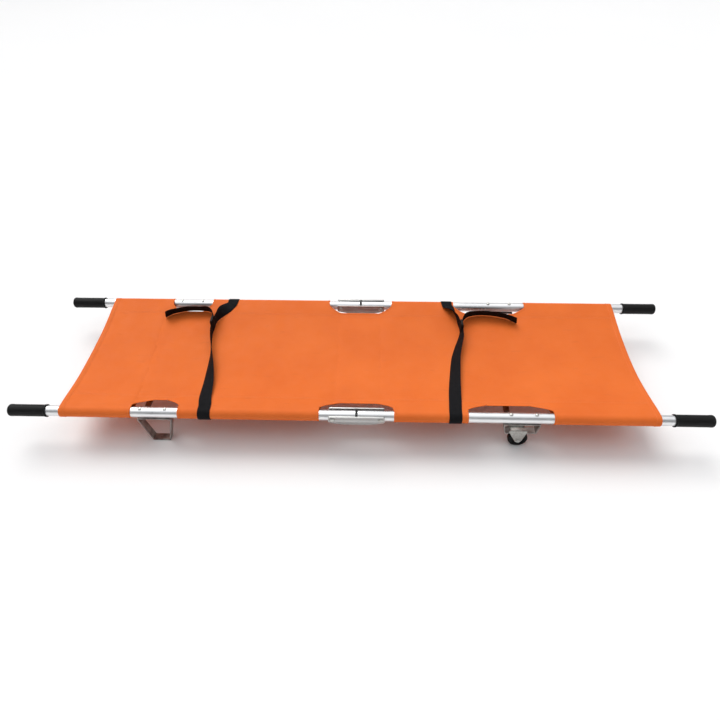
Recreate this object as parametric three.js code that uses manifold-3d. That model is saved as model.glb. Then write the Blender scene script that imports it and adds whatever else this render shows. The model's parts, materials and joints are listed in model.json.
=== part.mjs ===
// Folding stretcher: two jointed aluminium poles, a cloth bed sewn round them, two feet, two castors,
// two folding spreader bars under the bed and two webbing straps.
// Millimetres. +X runs from the foot end to the wheel end, +Z is up, the floor is z = 0.
// The right side of the stretcher is at -Y and the left side at +Y.
import * as THREE from 'three';
import { mergeVertices } from 'three/addons/utils/BufferGeometryUtils.js';
import Module from 'manifold-3d';

const wasm = await Module();
wasm.setup();

// Driving dimensions
const LENGTH = 2100;
const POLE_SPACING = 516;
const POLE_HEIGHT = 121;
const GAP = 0.3;

const TUBE_RADIUS = 16;
const TUBE_WALL = 2;
const TUBE_END_GAP = 7; // between the two halves of a pole, inside the hinge channel

const GRIP_LENGTH = 117;
const GRIP_RADIUS = 18.6;
const GRIP_END_WALL = 5;
const GRIP_COLLAR_LENGTH = 5;

const PIN_OFFSET = 72; // hinge pins lie this far each side of the middle
const PIN_RADIUS = 5;
const PLATE_HALF_LENGTH = 84;
const PLATE_THICKNESS = 3;
const PLATE_TOP = 14;
const PLATE_END_BOTTOM = -11;
const PLATE_MIDDLE_BOTTOM = -20.6;
const CHANNEL_WEB_HALF_LENGTH = 48;
const PIN_HEAD_RADIUS = 8;

const STRAP_IRON_WIDTH = 25; // flat bar that the feet and castor brackets are bent from
const STRAP_IRON_THICKNESS = 3.5;
const RIVET_RADIUS = 3;
const RIVET_HEAD_RADIUS = 6;
const RIVET_HEAD_HEIGHT = 3;
const RIVET_HALF_SPACING = 37.5;

const FOOT_X = -611;
const FOOT_TOP_WIDTH = 110;
const FOOT_BOTTOM_WIDTH = 54;

const CASTOR_X = 494;
const BRACKET_TOP_WIDTH = 114;
const BRACKET_BOTTOM_WIDTH = 95;
const BRACKET_DEPTH = 58; // below the pole axis
const WHEEL_RADIUS = 30;
const WHEEL_WIDTH = 20;
const AXLE_RADIUS = 4;
const AXLE_X = CASTOR_X - 1;
const CHEEK_THICKNESS = 2.5;
const CHEEK_TOP = -44; // below the pole axis
const CHEEK_TOP_SPAN = [-37, 21]; // along X, from the axle
const CHEEK_TIP_RADIUS = 8;
const FORK_WEB = { length: 42, centreX: -8 };

const SPREADER_OFFSET = -37; // along X, from the middle of the foot or bracket that holds it
const PIVOT_INSET = 30; // from the pole axis towards the middle of the bed
const LINK_WIDTH = 18;
const LINK_THICKNESS = 4;
const LINK_TOP = { right: -23.6, left: -27.9 };
const PIVOT_RADIUS = 4;
const PIVOT_HEAD_RADIUS = 6.5;

const CLOTH_HALF_LENGTH = 893;
const CLOTH_THICKNESS = 2;
const SLEEVE_THICKNESS = 1.6;
const SLEEVE_CLEARANCE = 0.6; // between the tube and the sleeve's inside
const SLEEVE_REACH = 50; // from the pole axis towards the middle of the bed
const BED_SAG = 32;
const BED_EDGE_Y = POLE_SPACING / 2 - SLEEVE_REACH;
const SLEEVE_SPANS = {
  foot_outer: [-CLOTH_HALF_LENGTH, -677],
  foot_inner: [-535, -112],
  wheel_inner: [112, 331],
  wheel_outer: [583, CLOTH_HALF_LENGTH],
};

const WEBBING_WIDTH = 38;
const WEBBING_THICKNESS = 1.8;
const STEEPEST_CLOTH = 0.23; // the bed's slope beside the poles
const WEBBING_LIFT = 2; // from the cloth's upper face to the webbing's middle
const BUCKLE = { length: 34, height: 44, thickness: 10, nearEdge: 112 };

const RUN_STEPS = { right: 14, left: 34 };

const SIDES = { right: -1, left: 1 };
const ENDS = { foot: -1, wheel: 1 };

// Materials
const finish = (color, roughness, metalness) =>
  new THREE.MeshStandardMaterial({ color, roughness, metalness });
const MATERIALS = {
  aluminium: () => finish(0xd5d7d6, 0.35, 1),
  plate: () => finish(0xb4b5b2, 0.45, 1),
  steel: () => finish(0x8a857e, 0.5, 1),
  zinc: () => finish(0x9c9a92, 0.5, 1),
  grip: () => finish(0x1c1c1c, 0.7, 0),
  wheel: () => finish(0x111111, 0.6, 0),
  cloth: () => finish(0xee7a38, 0.8, 0),
  webbing: () => finish(0x14151a, 0.85, 0),
  buckle: () => finish(0x0d0d0d, 0.4, 0),
};

const stretcher = new THREE.Group();
const frame = new THREE.Group(); // its z = 0 is the pole axis
frame.position.z = POLE_HEIGHT;
stretcher.add(frame);

function addPart(name, geometry, material, position = [0, 0, 0]) {
  const mesh = new THREE.Mesh(geometry, MATERIALS[material]());
  mesh.name = name;
  mesh.position.set(...position);
  frame.add(mesh);
}

// Joining and cutting closed meshes
function toSolid(geometry) {
  const bare = geometry.clone();
  bare.deleteAttribute('normal');
  bare.deleteAttribute('uv');
  const merged = mergeVertices(bare, 1e-4);
  return new wasm.Manifold(new wasm.Mesh({
    numProp: 3,
    vertProperties: new Float32Array(merged.attributes.position.array),
    triVerts: new Uint32Array(merged.index.array),
  }));
}

function toGeometry(solid) {
  const mesh = solid.getMesh();
  const geometry = new THREE.BufferGeometry();
  geometry.setAttribute('position', new THREE.BufferAttribute(mesh.vertProperties, 3));
  geometry.setIndex(new THREE.BufferAttribute(mesh.triVerts, 1));
  geometry.computeVertexNormals();
  return geometry;
}

function combine(added, removed = []) {
  let solid = toSolid(added[0]);
  for (const geometry of added.slice(1)) {
    solid = solid.add(toSolid(geometry));
  }
  for (const geometry of removed) {
    solid = solid.subtract(toSolid(geometry));
  }
  return toGeometry(solid);
}

// Shapes that several parts share
function cylinder(axis, radius, length, centre, segments = 12) {
  const geometry = new THREE.CylinderGeometry(radius, radius, length, segments);
  if (axis === 'z') {
    geometry.rotateX(Math.PI / 2);
  }
  return geometry.translate(...centre);
}

function revolve(axis, profile, segments) {
  const points = profile.map(([radius, along]) => new THREE.Vector2(radius, along));
  const geometry = new THREE.LatheGeometry(points, segments);
  if (axis === 'x') {
    geometry.rotateZ(-Math.PI / 2);
  }
  if (axis === 'z') {
    geometry.rotateX(Math.PI / 2);
  }
  return geometry;
}

// A domed rivet head's profile, from its flat side to the axis; direction is +1 or -1 along the rivet
function domeProfile(radius, height, base, direction) {
  const steps = 2;
  const points = [];
  for (let i = 0; i <= steps; i += 1) {
    const angle = (i / steps) * Math.PI / 2;
    points.push([radius * Math.cos(angle), base + direction * height * Math.sin(angle)]);
  }
  points[steps][0] = 0;
  return points;
}

// A rivet with a dome at both ends, centred on its shank; collars are [radius, from, to] along it
function rivet(axis, shankRadius, headRadius, headHeight, from, to, collars = []) {
  const profile = domeProfile(headRadius, headHeight, from, -1).reverse();
  profile.push([shankRadius, from]);
  for (const [radius, low, high] of collars) {
    profile.push([shankRadius, low], [radius, low], [radius, high], [shankRadius, high]);
  }
  profile.push([shankRadius, to]);
  profile.push(...domeProfile(headRadius, headHeight, to, 1));
  return revolve(axis, profile, 10);
}

function roundedPolygon(target, corners, radius) {
  const points = corners.map(([x, y]) => new THREE.Vector2(x, y));
  const count = points.length;
  points.forEach((corner, i) => {
    const before = points[(i + count - 1) % count];
    const after = points[(i + 1) % count];
    const enter = corner.clone().lerp(before, radius / corner.distanceTo(before));
    const leave = corner.clone().lerp(after, radius / corner.distanceTo(after));
    if (i === 0) {
      target.moveTo(enter.x, enter.y);
    } else {
      target.lineTo(enter.x, enter.y);
    }
    target.quadraticCurveTo(corner.x, corner.y, leave.x, leave.y);
  });
  target.closePath();
  return target;
}

function extrude(shape, depth, curveSegments = 4) {
  return new THREE.ExtrudeGeometry(shape, { depth, bevelEnabled: false, curveSegments });
}

// Turns an outline drawn in X and Z, extruded along -Y, so that it is centred on y = 0
function extrudeAlongY(shape, width, curveSegments) {
  return extrude(shape, width, curveSegments).rotateX(Math.PI / 2).translate(0, width / 2, 0);
}

// An outline drawn in Y and Z, extruded along X between two places
function extrudeAlongX(shape, from, to, curveSegments) {
  const geometry = extrude(shape, to - from, curveSegments);
  const toYZ = new THREE.Matrix4().set(
    0, 0, 1, from,
    1, 0, 0, 0,
    0, 1, 0, 0,
    0, 0, 0, 1,
  );
  return geometry.applyMatrix4(toYZ);
}

// Poles: each half is a tube, drilled for its hinge pin and for the rivets of its foot or bracket
function pole(end) {
  const inner = TUBE_END_GAP / 2;
  const outer = LENGTH / 2 - GRIP_END_WALL - GAP;
  const bore = TUBE_RADIUS - TUBE_WALL;
  const profile = [
    [TUBE_RADIUS, inner], [TUBE_RADIUS, outer], [bore, outer], [bore, inner], [TUBE_RADIUS, inner],
  ];
  const tube = revolve('x', profile, 24);
  const bracketX = end > 0 ? CASTOR_X : -FOOT_X;
  const drills = [cylinder('y', PIN_RADIUS + GAP, 60, [PIN_OFFSET, 0, 0])];
  for (const offset of [-RIVET_HALF_SPACING, RIVET_HALF_SPACING]) {
    drills.push(cylinder('z', RIVET_RADIUS + GAP, 60, [bracketX + offset, 0, 0], 10));
  }
  const half = combine([tube], drills);
  return end > 0 ? half : half.rotateZ(Math.PI);
}

// Grips: a rubber sleeve closed at its outer end, with a raised collar at its inner end
function grip(end) {
  const bore = TUBE_RADIUS + GAP;
  const outer = LENGTH / 2;
  const inner = outer - GRIP_LENGTH;
  const collarEnd = inner + GRIP_COLLAR_LENGTH;
  const collarRadius = GRIP_RADIUS + 0.9;
  const bodyRadius = GRIP_RADIUS - 0.4;
  const profile = [
    [0, outer - GRIP_END_WALL], [bore, outer - GRIP_END_WALL], [bore, inner],
    [bodyRadius - 0.4, inner], [collarRadius, inner + 1.5], [collarRadius, collarEnd],
    [bodyRadius, collarEnd + 4], [bodyRadius, outer - 18],
    [GRIP_RADIUS, outer - 10], [bodyRadius - 0.4, outer - 4], [bodyRadius - 3.6, outer], [0, outer],
  ];
  const geometry = revolve('x', profile, 24);
  return end > 0 ? geometry : geometry.rotateZ(Math.PI);
}

// Hinge channel: two side plates and a web under the tube ends, open on top so that the ends can swing up
function hingeChannel() {
  const webBottom = -TUBE_RADIUS - PLATE_THICKNESS - GAP;
  const outline = roundedPolygon(new THREE.Shape(), [
    [-PLATE_HALF_LENGTH, PLATE_TOP], [-PLATE_HALF_LENGTH, PLATE_END_BOTTOM],
    [-CHANNEL_WEB_HALF_LENGTH, webBottom], [0, PLATE_MIDDLE_BOTTOM],
    [CHANNEL_WEB_HALF_LENGTH, webBottom], [PLATE_HALF_LENGTH, PLATE_END_BOTTOM],
    [PLATE_HALF_LENGTH, PLATE_TOP],
  ], 6);
  for (const x of [-PIN_OFFSET, PIN_OFFSET]) {
    outline.holes.push(new THREE.Path().absarc(x, 0, PIN_RADIUS + GAP, 0, 2 * Math.PI));
  }
  const innerFace = TUBE_RADIUS + GAP;
  const plates = [-1, 1].map((side) => extrudeAlongY(outline, PLATE_THICKNESS, 5)
    .translate(0, side * (innerFace + PLATE_THICKNESS / 2), 0));
  const web = new THREE.BoxGeometry(
    2 * CHANNEL_WEB_HALF_LENGTH, 2 * innerFace + 2, PLATE_THICKNESS - GAP,
  );
  web.translate(0, 0, -innerFace - (PLATE_THICKNESS - GAP) / 2);
  return combine([...plates, web]);
}

function hingePin() {
  const halfGrip = TUBE_RADIUS + GAP + PLATE_THICKNESS + GAP;
  return rivet('y', PIN_RADIUS, PIN_HEAD_RADIUS, 4, -halfGrip, halfGrip);
}

// Foot or castor bracket: a closed loop of flat bar under the tube, with a tab for the spreader bar
function loopOfFlatBar(topWidth, bottomWidth, depth, side) {
  const top = -TUBE_RADIUS - GAP;
  const wall = STRAP_IRON_THICKNESS;
  const lean = (topWidth - bottomWidth) / 2 / (depth + top);
  const sideWall = wall * Math.hypot(1, lean);
  const outline = (inset, low, high) => {
    const halfAt = (z) => topWidth / 2 - (top - z) * lean - inset;
    return [[-halfAt(high), high], [-halfAt(low), low], [halfAt(low), low], [halfAt(high), high]];
  };
  const shape = roundedPolygon(new THREE.Shape(), outline(0, -depth, top), 7);
  shape.holes.push(roundedPolygon(new THREE.Path(), outline(sideWall, -depth + wall, top - wall), 4));
  const loop = extrudeAlongY(shape, STRAP_IRON_WIDTH, 3);

  const tabShape = new THREE.Shape();
  const halfTab = LINK_WIDTH / 2;
  tabShape.moveTo(-halfTab, STRAP_IRON_WIDTH / 2 - 1);
  tabShape.lineTo(-halfTab, PIVOT_INSET);
  tabShape.absarc(0, PIVOT_INSET, halfTab, Math.PI, 0, true);
  tabShape.lineTo(halfTab, STRAP_IRON_WIDTH / 2 - 1);
  tabShape.closePath();
  tabShape.holes.push(new THREE.Path().absarc(0, PIVOT_INSET, PIVOT_RADIUS + GAP, 0, 2 * Math.PI));
  const tab = extrude(tabShape, wall, 5).translate(SPREADER_OFFSET, 0, top - wall);
  if (side > 0) {
    tab.rotateX(Math.PI).translate(0, 0, 2 * top - wall);
  }
  const drills = [-RIVET_HALF_SPACING, RIVET_HALF_SPACING].map(
    (x) => cylinder('z', RIVET_RADIUS + GAP, 20, [x, 0, top], 10),
  );
  return combine([loop, tab], drills);
}

function loopRivet() {
  const under = TUBE_RADIUS + GAP + STRAP_IRON_THICKNESS + GAP;
  return rivet('z', RIVET_RADIUS, RIVET_HEAD_RADIUS, RIVET_HEAD_HEIGHT, -under, TUBE_RADIUS + GAP);
}

// Castor fork: two cheeks joined by a web that sits on the bracket's lower bar
function castorFork() {
  const axleDrop = POLE_HEIGHT - WHEEL_RADIUS;
  const top = axleDrop + CHEEK_TOP;
  const cheek = new THREE.Shape();
  cheek.moveTo(CHEEK_TOP_SPAN[1], top);
  cheek.lineTo(CHEEK_TOP_SPAN[0], top);
  cheek.absarc(0, 0, CHEEK_TIP_RADIUS, Math.PI * 7 / 6, Math.PI * 11 / 6, false);
  cheek.closePath();
  cheek.holes.push(new THREE.Path().absarc(0, 0, AXLE_RADIUS + GAP, 0, 2 * Math.PI));
  const innerFace = STRAP_IRON_WIDTH / 2 + GAP;
  const cheeks = [-1, 1].map((side) => extrudeAlongY(cheek, CHEEK_THICKNESS, 5)
    .translate(0, side * (innerFace + CHEEK_THICKNESS / 2), 0));
  const webBottom = axleDrop - BRACKET_DEPTH + STRAP_IRON_THICKNESS + GAP;
  const web = new THREE.BoxGeometry(FORK_WEB.length, 2 * innerFace + 1, CHEEK_THICKNESS);
  web.translate(FORK_WEB.centreX, 0, webBottom + CHEEK_THICKNESS / 2);
  return combine([...cheeks, web]);
}

function castorAxle() {
  const halfGrip = STRAP_IRON_WIDTH / 2 + GAP + CHEEK_THICKNESS + GAP;
  return rivet('y', AXLE_RADIUS, PIVOT_HEAD_RADIUS, RIVET_HEAD_HEIGHT, -halfGrip, halfGrip);
}

// Wheel: a hub boss, a recessed disc and a tyre with a rounded shoulder, the same on both faces
function castorWheel() {
  const half = WHEEL_WIDTH / 2;
  const bore = AXLE_RADIUS + GAP;
  const recess = 3;
  const bossRadius = 8;
  const tyreInside = 20;
  const oneFace = [
    [bore, half], [bossRadius, half], [bossRadius + 1, half - recess], [tyreInside, half - recess],
    [tyreInside + 1, half - 0.5], [WHEEL_RADIUS - 2.5, half - 0.5], [WHEEL_RADIUS - 0.6, half - 3],
    [WHEEL_RADIUS, half - 6],
  ];
  const otherFace = oneFace.map(([radius, along]) => [radius, -along]);
  return revolve('y', [...otherFace, ...oneFace.reverse(), otherFace[0]], 24);
}

// Spreader bar: two flat links from the poles to a knuckle over the stretcher's centre line
const LINK_LENGTH = POLE_SPACING / 2 - PIVOT_INSET;

function spreaderLink() {
  const half = LINK_WIDTH / 2;
  const shape = new THREE.Shape();
  shape.moveTo(-half, 0);
  shape.lineTo(-half, LINK_LENGTH);
  shape.absarc(0, LINK_LENGTH, half, Math.PI, 0, true);
  shape.lineTo(half, 0);
  shape.absarc(0, 0, half, 0, Math.PI, true);
  for (const y of [0, LINK_LENGTH]) {
    shape.holes.push(new THREE.Path().absarc(0, y, PIVOT_RADIUS + GAP, 0, 2 * Math.PI));
  }
  return extrude(shape, LINK_THICKNESS, 6);
}

function pivotBolt(linkTop) {
  const tabTop = -TUBE_RADIUS - GAP;
  const tabBottom = tabTop - STRAP_IRON_THICKNESS;
  const collar = [PIVOT_HEAD_RADIUS, linkTop + GAP, tabBottom - GAP];
  const under = linkTop - LINK_THICKNESS - GAP;
  return rivet('z', PIVOT_RADIUS, PIVOT_HEAD_RADIUS, RIVET_HEAD_HEIGHT, under, tabTop + GAP, [collar]);
}

function knuckleRivet() {
  const under = LINK_TOP.left - LINK_THICKNESS - GAP;
  return rivet('z', PIVOT_RADIUS, PIVOT_HEAD_RADIUS, 2.5, under, LINK_TOP.right + GAP);
}

// Cloth: the bed hangs in a shallow curve between the poles
function bedMiddle(y) {
  const tangentY = POLE_SPACING / 2 - TUBE_RADIUS;
  const edge = TUBE_RADIUS + SLEEVE_CLEARANCE + SLEEVE_THICKNESS / 2;
  return edge - BED_SAG * (1 - (y / tangentY) ** 2);
}

function bedPanel(from, to) {
  const steps = 16;
  const edgeY = BED_EDGE_Y - GAP / 2;
  const across = Array.from({ length: steps + 1 }, (_, i) => edgeY * (2 * i / steps - 1));
  const half = CLOTH_THICKNESS / 2;
  const shape = new THREE.Shape([
    ...across.map((y) => new THREE.Vector2(y, bedMiddle(y) - half)),
    ...across.reverse().map((y) => new THREE.Vector2(y, bedMiddle(y) + half)),
  ]);
  return extrudeAlongX(shape, from, to);
}

// A teardrop outline round the tube of the right pole, drawn in towards a tip on the bed's side
function teardrop(target, radius, tipY, tipLow, tipHigh) {
  const tangentAngle = (tipZ, sign) => Math.atan2(tipZ, tipY)
    + sign * Math.acos(radius / Math.hypot(tipY, tipZ));
  const start = tangentAngle(tipHigh, 1);
  const end = 2 * Math.PI + tangentAngle(tipLow, -1);
  const steps = 20;
  target.moveTo(tipY, tipHigh);
  for (let i = 0; i <= steps; i += 1) {
    const angle = start + (end - start) * i / steps;
    target.lineTo(radius * Math.cos(angle), radius * Math.sin(angle));
  }
  target.lineTo(tipY, tipLow);
  target.closePath();
  return target;
}

function sleeve(from, to, side) {
  const inner = TUBE_RADIUS + SLEEVE_CLEARANCE;
  const tip = SLEEVE_REACH - GAP / 2;
  const middle = bedMiddle(BED_EDGE_Y);
  const half = CLOTH_THICKNESS / 2;
  const shape = teardrop(
    new THREE.Shape(), inner + SLEEVE_THICKNESS, tip, middle - half, middle + half,
  );
  shape.holes.push(teardrop(new THREE.Path(), inner, tip - 6, middle - 0.1, middle + 0.1));
  return side < 0 ? extrudeAlongX(shape, from, to) : extrudeAlongX(shape, -to, -from).rotateZ(Math.PI);
}

// Straps: webbing as a chain of stations, each with a centre and the direction of its width
function ribbon(stations) {
  const count = stations.length;
  const geometry = new THREE.BoxGeometry(1, count - 1, 1, 1, count - 1, 1);
  const position = geometry.attributes.position;
  for (let i = 0; i < position.count; i += 1) {
    const index = Math.round(position.getY(i) + (count - 1) / 2);
    const { centre, across } = stations[index];
    const before = stations[Math.max(index - 1, 0)].centre;
    const after = stations[Math.min(index + 1, count - 1)].centre;
    const along = after.clone().sub(before).normalize();
    const normal = across.clone().cross(along).normalize();
    const point = centre.clone()
      .addScaledVector(across, position.getX(i) * WEBBING_WIDTH)
      .addScaledVector(normal, position.getZ(i) * WEBBING_THICKNESS);
    position.setXYZ(i, point.x, point.y, point.z);
  }
  return geometry;
}

function clothTop(y) {
  const fromMiddle = Math.abs(y);
  const half = CLOTH_THICKNESS / 2;
  if (fromMiddle <= BED_EDGE_Y) {
    return bedMiddle(y) + half;
  }
  const crown = TUBE_RADIUS + SLEEVE_CLEARANCE + SLEEVE_THICKNESS;
  const edge = bedMiddle(BED_EDGE_Y) + half;
  return edge + (crown - edge) * Math.min(1, (fromMiddle - BED_EDGE_Y) / (SLEEVE_REACH - 3));
}

// From the underside of the sleeve, round the outside of the pole, to its top
function wrapStations(x, side) {
  const radius = TUBE_RADIUS + SLEEVE_CLEARANCE + SLEEVE_THICKNESS + WEBBING_LIFT;
  const start = -58;
  const end = -280;
  const steps = 12;
  const stations = [];
  for (let i = 0; i <= steps; i += 1) {
    const angle = THREE.MathUtils.degToRad(start + (end - start) * i / steps);
    const y = side * (POLE_SPACING / 2 - radius * Math.cos(angle));
    stations.push({
      centre: new THREE.Vector3(x, y, radius * Math.sin(angle)),
      across: new THREE.Vector3(-side, 0, 0),
    });
  }
  return stations;
}

// Over the bed: points are [x, y, tilt], where a tilt of 0 lies flat and 90 stands on its edge
function runStations(points, steps) {
  const route = new THREE.CatmullRomCurve3(points.map(([x, y, tilt]) => new THREE.Vector3(x, y, tilt)));
  const spots = route.getPoints(steps);
  return spots.map((spot, i) => {
    const before = spots[Math.max(i - 1, 0)];
    const after = spots[Math.min(i + 1, steps)];
    const along = new THREE.Vector3(after.x - before.x, after.y - before.y, 0).normalize();
    const level = along.clone().cross(new THREE.Vector3(0, 0, 1));
    const tilt = spot.z * Math.PI / 180;
    const overSlope = STEEPEST_CLOTH * Math.abs(level.y * Math.cos(tilt));
    const rise = WEBBING_LIFT + (WEBBING_WIDTH / 2) * (Math.abs(Math.sin(tilt)) + overSlope);
    return {
      centre: new THREE.Vector3(spot.x, spot.y, clothTop(spot.y) + rise),
      across: level.multiplyScalar(Math.cos(tilt)).add(new THREE.Vector3(0, 0, Math.sin(tilt))),
    };
  });
}

// Each strap has a plain half on the right, and a half on the left that turns back at the buckle
// and ends in a loose tail
const STRAPS = {
  foot: {
    wrapX: { right: -455, left: -461 },
    buckleX: -509,
    right: [
      [-456, -240, 0], [-464, -200, 5], [-471, -126, 25], [-483, -45, 55], [-494, 16, 80],
      [-503, 60, 90], [-507, 95, 90], [-509, 111, 90],
    ],
    left: [
      [-463, 240, 0], [-476, 216, 25], [-490, 189, 60], [-500, 165, 88], [-504, 154, 90],
      [-509, 148.5, 90], [-514, 154, 90], [-520, 180, 95], [-539, 198, 110], [-566, 205, 115],
      [-602, 205, 115], [-636, 199, 115], [-661, 187, 115], [-684, 167, 110],
    ],
  },
  wheel: {
    wrapX: { right: 293, left: 307 },
    buckleX: 348,
    right: [
      [294, -240, 0], [298, -198, 5], [303, -140, 20], [311, -70, 32], [320, 0, 45],
      [334, 62, 65], [343, 95, 82], [348, 111, 90],
    ],
    left: [
      [309, 240, 0], [318, 222, 25], [329, 198, 60], [339, 170, 88], [343, 155, 90],
      [348, 148.5, 90], [353, 154, 90], [364, 180, 85], [384, 194, 70], [420, 199, 65],
      [454, 197, 65], [488, 192, 65], [514, 183, 65], [543, 165, 70],
    ],
  },
};

function buckle() {
  const half = BUCKLE.length / 2;
  const top = BUCKLE.height / 2;
  const outline = roundedPolygon(
    new THREE.Shape(), [[-half, -top], [half, -top], [half, top], [-half, top]], 6,
  );
  return extrudeAlongX(outline, -BUCKLE.thickness / 2, BUCKLE.thickness / 2, 3);
}

// Assembly
for (const [sideName, side] of Object.entries(SIDES)) {
  const poleY = side * POLE_SPACING / 2;
  for (const [endName, end] of Object.entries(ENDS)) {
    addPart(`${endName}_pole_${sideName}`, pole(end), 'aluminium', [0, poleY, 0]);
    addPart(`${endName}_grip_${sideName}`, grip(end), 'grip', [0, poleY, 0]);
    addPart(`${endName}_hinge_pin_${sideName}`, hingePin(), 'zinc', [end * PIN_OFFSET, poleY, 0]);

    const bracketX = end > 0 ? CASTOR_X : FOOT_X;
    for (const [number, offset] of [[1, -RIVET_HALF_SPACING], [2, RIVET_HALF_SPACING]]) {
      addPart(`${endName}_rivet_${number}_${sideName}`, loopRivet(), 'zinc', [bracketX + offset, poleY, 0]);
    }
    const pivotX = bracketX + SPREADER_OFFSET;
    const pivotY = poleY - side * PIVOT_INSET;
    const linkTop = LINK_TOP[sideName];
    addPart(`${endName}_spreader_pivot_${sideName}`, pivotBolt(linkTop), 'zinc', [pivotX, pivotY, 0]);
    const link = side < 0 ? spreaderLink() : spreaderLink().rotateZ(Math.PI);
    const linkPlace = [pivotX, pivotY, linkTop - LINK_THICKNESS];
    addPart(`${endName}_spreader_link_${sideName}`, link, 'steel', linkPlace);
  }
  addPart(`hinge_channel_${sideName}`, hingeChannel(), 'plate', [0, poleY, 0]);
  addPart(
    `foot_loop_${sideName}`, loopOfFlatBar(FOOT_TOP_WIDTH, FOOT_BOTTOM_WIDTH, POLE_HEIGHT, side),
    'steel', [FOOT_X, poleY, 0],
  );
  addPart(
    `castor_bracket_${sideName}`,
    loopOfFlatBar(BRACKET_TOP_WIDTH, BRACKET_BOTTOM_WIDTH, BRACKET_DEPTH, side),
    'steel', [CASTOR_X, poleY, 0],
  );
  const axle = [AXLE_X, poleY, WHEEL_RADIUS - POLE_HEIGHT];
  addPart(`castor_fork_${sideName}`, castorFork(), 'zinc', axle);
  addPart(`castor_axle_${sideName}`, castorAxle(), 'zinc', axle);
  addPart(`castor_wheel_${sideName}`, castorWheel(), 'wheel', axle);
  for (const [spanName, [from, to]] of Object.entries(SLEEVE_SPANS)) {
    addPart(`sleeve_${spanName}_${sideName}`, sleeve(from, to, side), 'cloth', [0, poleY, 0]);
  }
}

for (const [endName, end] of Object.entries(ENDS)) {
  const bracketX = end > 0 ? CASTOR_X : FOOT_X;
  addPart(`${endName}_spreader_knuckle`, knuckleRivet(), 'zinc', [bracketX + SPREADER_OFFSET, 0, 0]);
}

addPart('bed_foot', bedPanel(-CLOTH_HALF_LENGTH, -PIN_OFFSET - GAP / 2), 'cloth');
addPart('bed_middle', bedPanel(-PIN_OFFSET + GAP / 2, PIN_OFFSET - GAP / 2), 'cloth');
addPart('bed_wheel', bedPanel(PIN_OFFSET + GAP / 2, CLOTH_HALF_LENGTH), 'cloth');

for (const [endName, strap] of Object.entries(STRAPS)) {
  for (const [sideName, side] of Object.entries(SIDES)) {
    const run = runStations(strap[sideName], RUN_STEPS[sideName]);
    const stations = [...wrapStations(strap.wrapX[sideName], side), ...run];
    addPart(`${endName}_strap_${sideName}`, ribbon(stations), 'webbing');
  }
  const buckleY = BUCKLE.nearEdge + BUCKLE.length / 2;
  const buckleZ = clothTop(buckleY + BUCKLE.length / 2) + GAP + BUCKLE.height / 2;
  addPart(`${endName}_strap_buckle`, buckle(), 'buckle', [strap.buckleX, buckleY, buckleZ]);
}

export default stretcher;
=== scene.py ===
"""Folding stretcher: the finished surfaces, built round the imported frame.

Metres. +X runs to the castor end, +Z is up, and the stretcher's right side is at -Y.
"""

import json
import math

import bmesh
import bpy
import numpy as np
from mathutils import Matrix, Vector

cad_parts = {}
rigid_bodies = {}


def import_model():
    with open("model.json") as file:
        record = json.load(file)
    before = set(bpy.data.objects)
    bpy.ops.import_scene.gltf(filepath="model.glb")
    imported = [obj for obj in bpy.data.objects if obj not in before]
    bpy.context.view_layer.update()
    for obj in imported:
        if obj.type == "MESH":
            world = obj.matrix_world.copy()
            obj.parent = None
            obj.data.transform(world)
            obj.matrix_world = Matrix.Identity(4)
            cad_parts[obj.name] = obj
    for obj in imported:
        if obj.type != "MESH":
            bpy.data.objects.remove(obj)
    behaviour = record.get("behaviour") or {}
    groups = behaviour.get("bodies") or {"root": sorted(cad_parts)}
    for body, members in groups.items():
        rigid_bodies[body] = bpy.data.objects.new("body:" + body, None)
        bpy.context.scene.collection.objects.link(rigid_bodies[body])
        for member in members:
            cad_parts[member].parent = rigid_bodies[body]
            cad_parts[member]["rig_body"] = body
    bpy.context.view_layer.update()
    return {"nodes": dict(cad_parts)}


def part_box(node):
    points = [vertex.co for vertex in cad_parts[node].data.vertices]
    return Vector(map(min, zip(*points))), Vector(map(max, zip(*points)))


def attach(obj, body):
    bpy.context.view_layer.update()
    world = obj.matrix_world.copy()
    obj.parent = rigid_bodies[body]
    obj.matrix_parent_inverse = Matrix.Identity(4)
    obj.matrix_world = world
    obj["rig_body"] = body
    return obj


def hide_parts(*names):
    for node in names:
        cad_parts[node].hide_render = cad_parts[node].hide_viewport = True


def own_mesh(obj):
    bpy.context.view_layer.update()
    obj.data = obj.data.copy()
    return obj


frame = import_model()

SIDES = {"right": -1, "left": 1}
ENDS = {"foot": -1, "wheel": 1}


# ---------------------------------------------------------------- places from the frame
def centre(node):
    low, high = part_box(node)
    return (low + high) / 2


def size(node):
    low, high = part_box(node)
    return high - low


def body_of(node):
    return frame["nodes"][node]["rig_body"]


POLE_Y = centre("foot_pole_left").y
POLE_Z = centre("foot_pole_left").z
TUBE_RADIUS = size("foot_pole_left").z / 2
TUBE_WALL = 0.002
GAP = 0.0003  # clearance between pieces that rest against each other
BAR_THICKNESS = 0.0035  # of the feet, the castor brackets and their tabs
BOLT_HOLE = 0.0043  # radius of the holes for bolts and axles, and of the wheels' bores
BRACKET_DEPTH = 0.058  # from a pole's axis to the bottom of its castor bracket
CLOTH_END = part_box("bed_wheel")[1].x
BED_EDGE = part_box("bed_wheel")[1].y
FOLD_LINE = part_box("bed_middle")[1].x
LINK_LENGTH = POLE_Y - 0.030  # from a spreader bar's pivot to its knuckle


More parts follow.
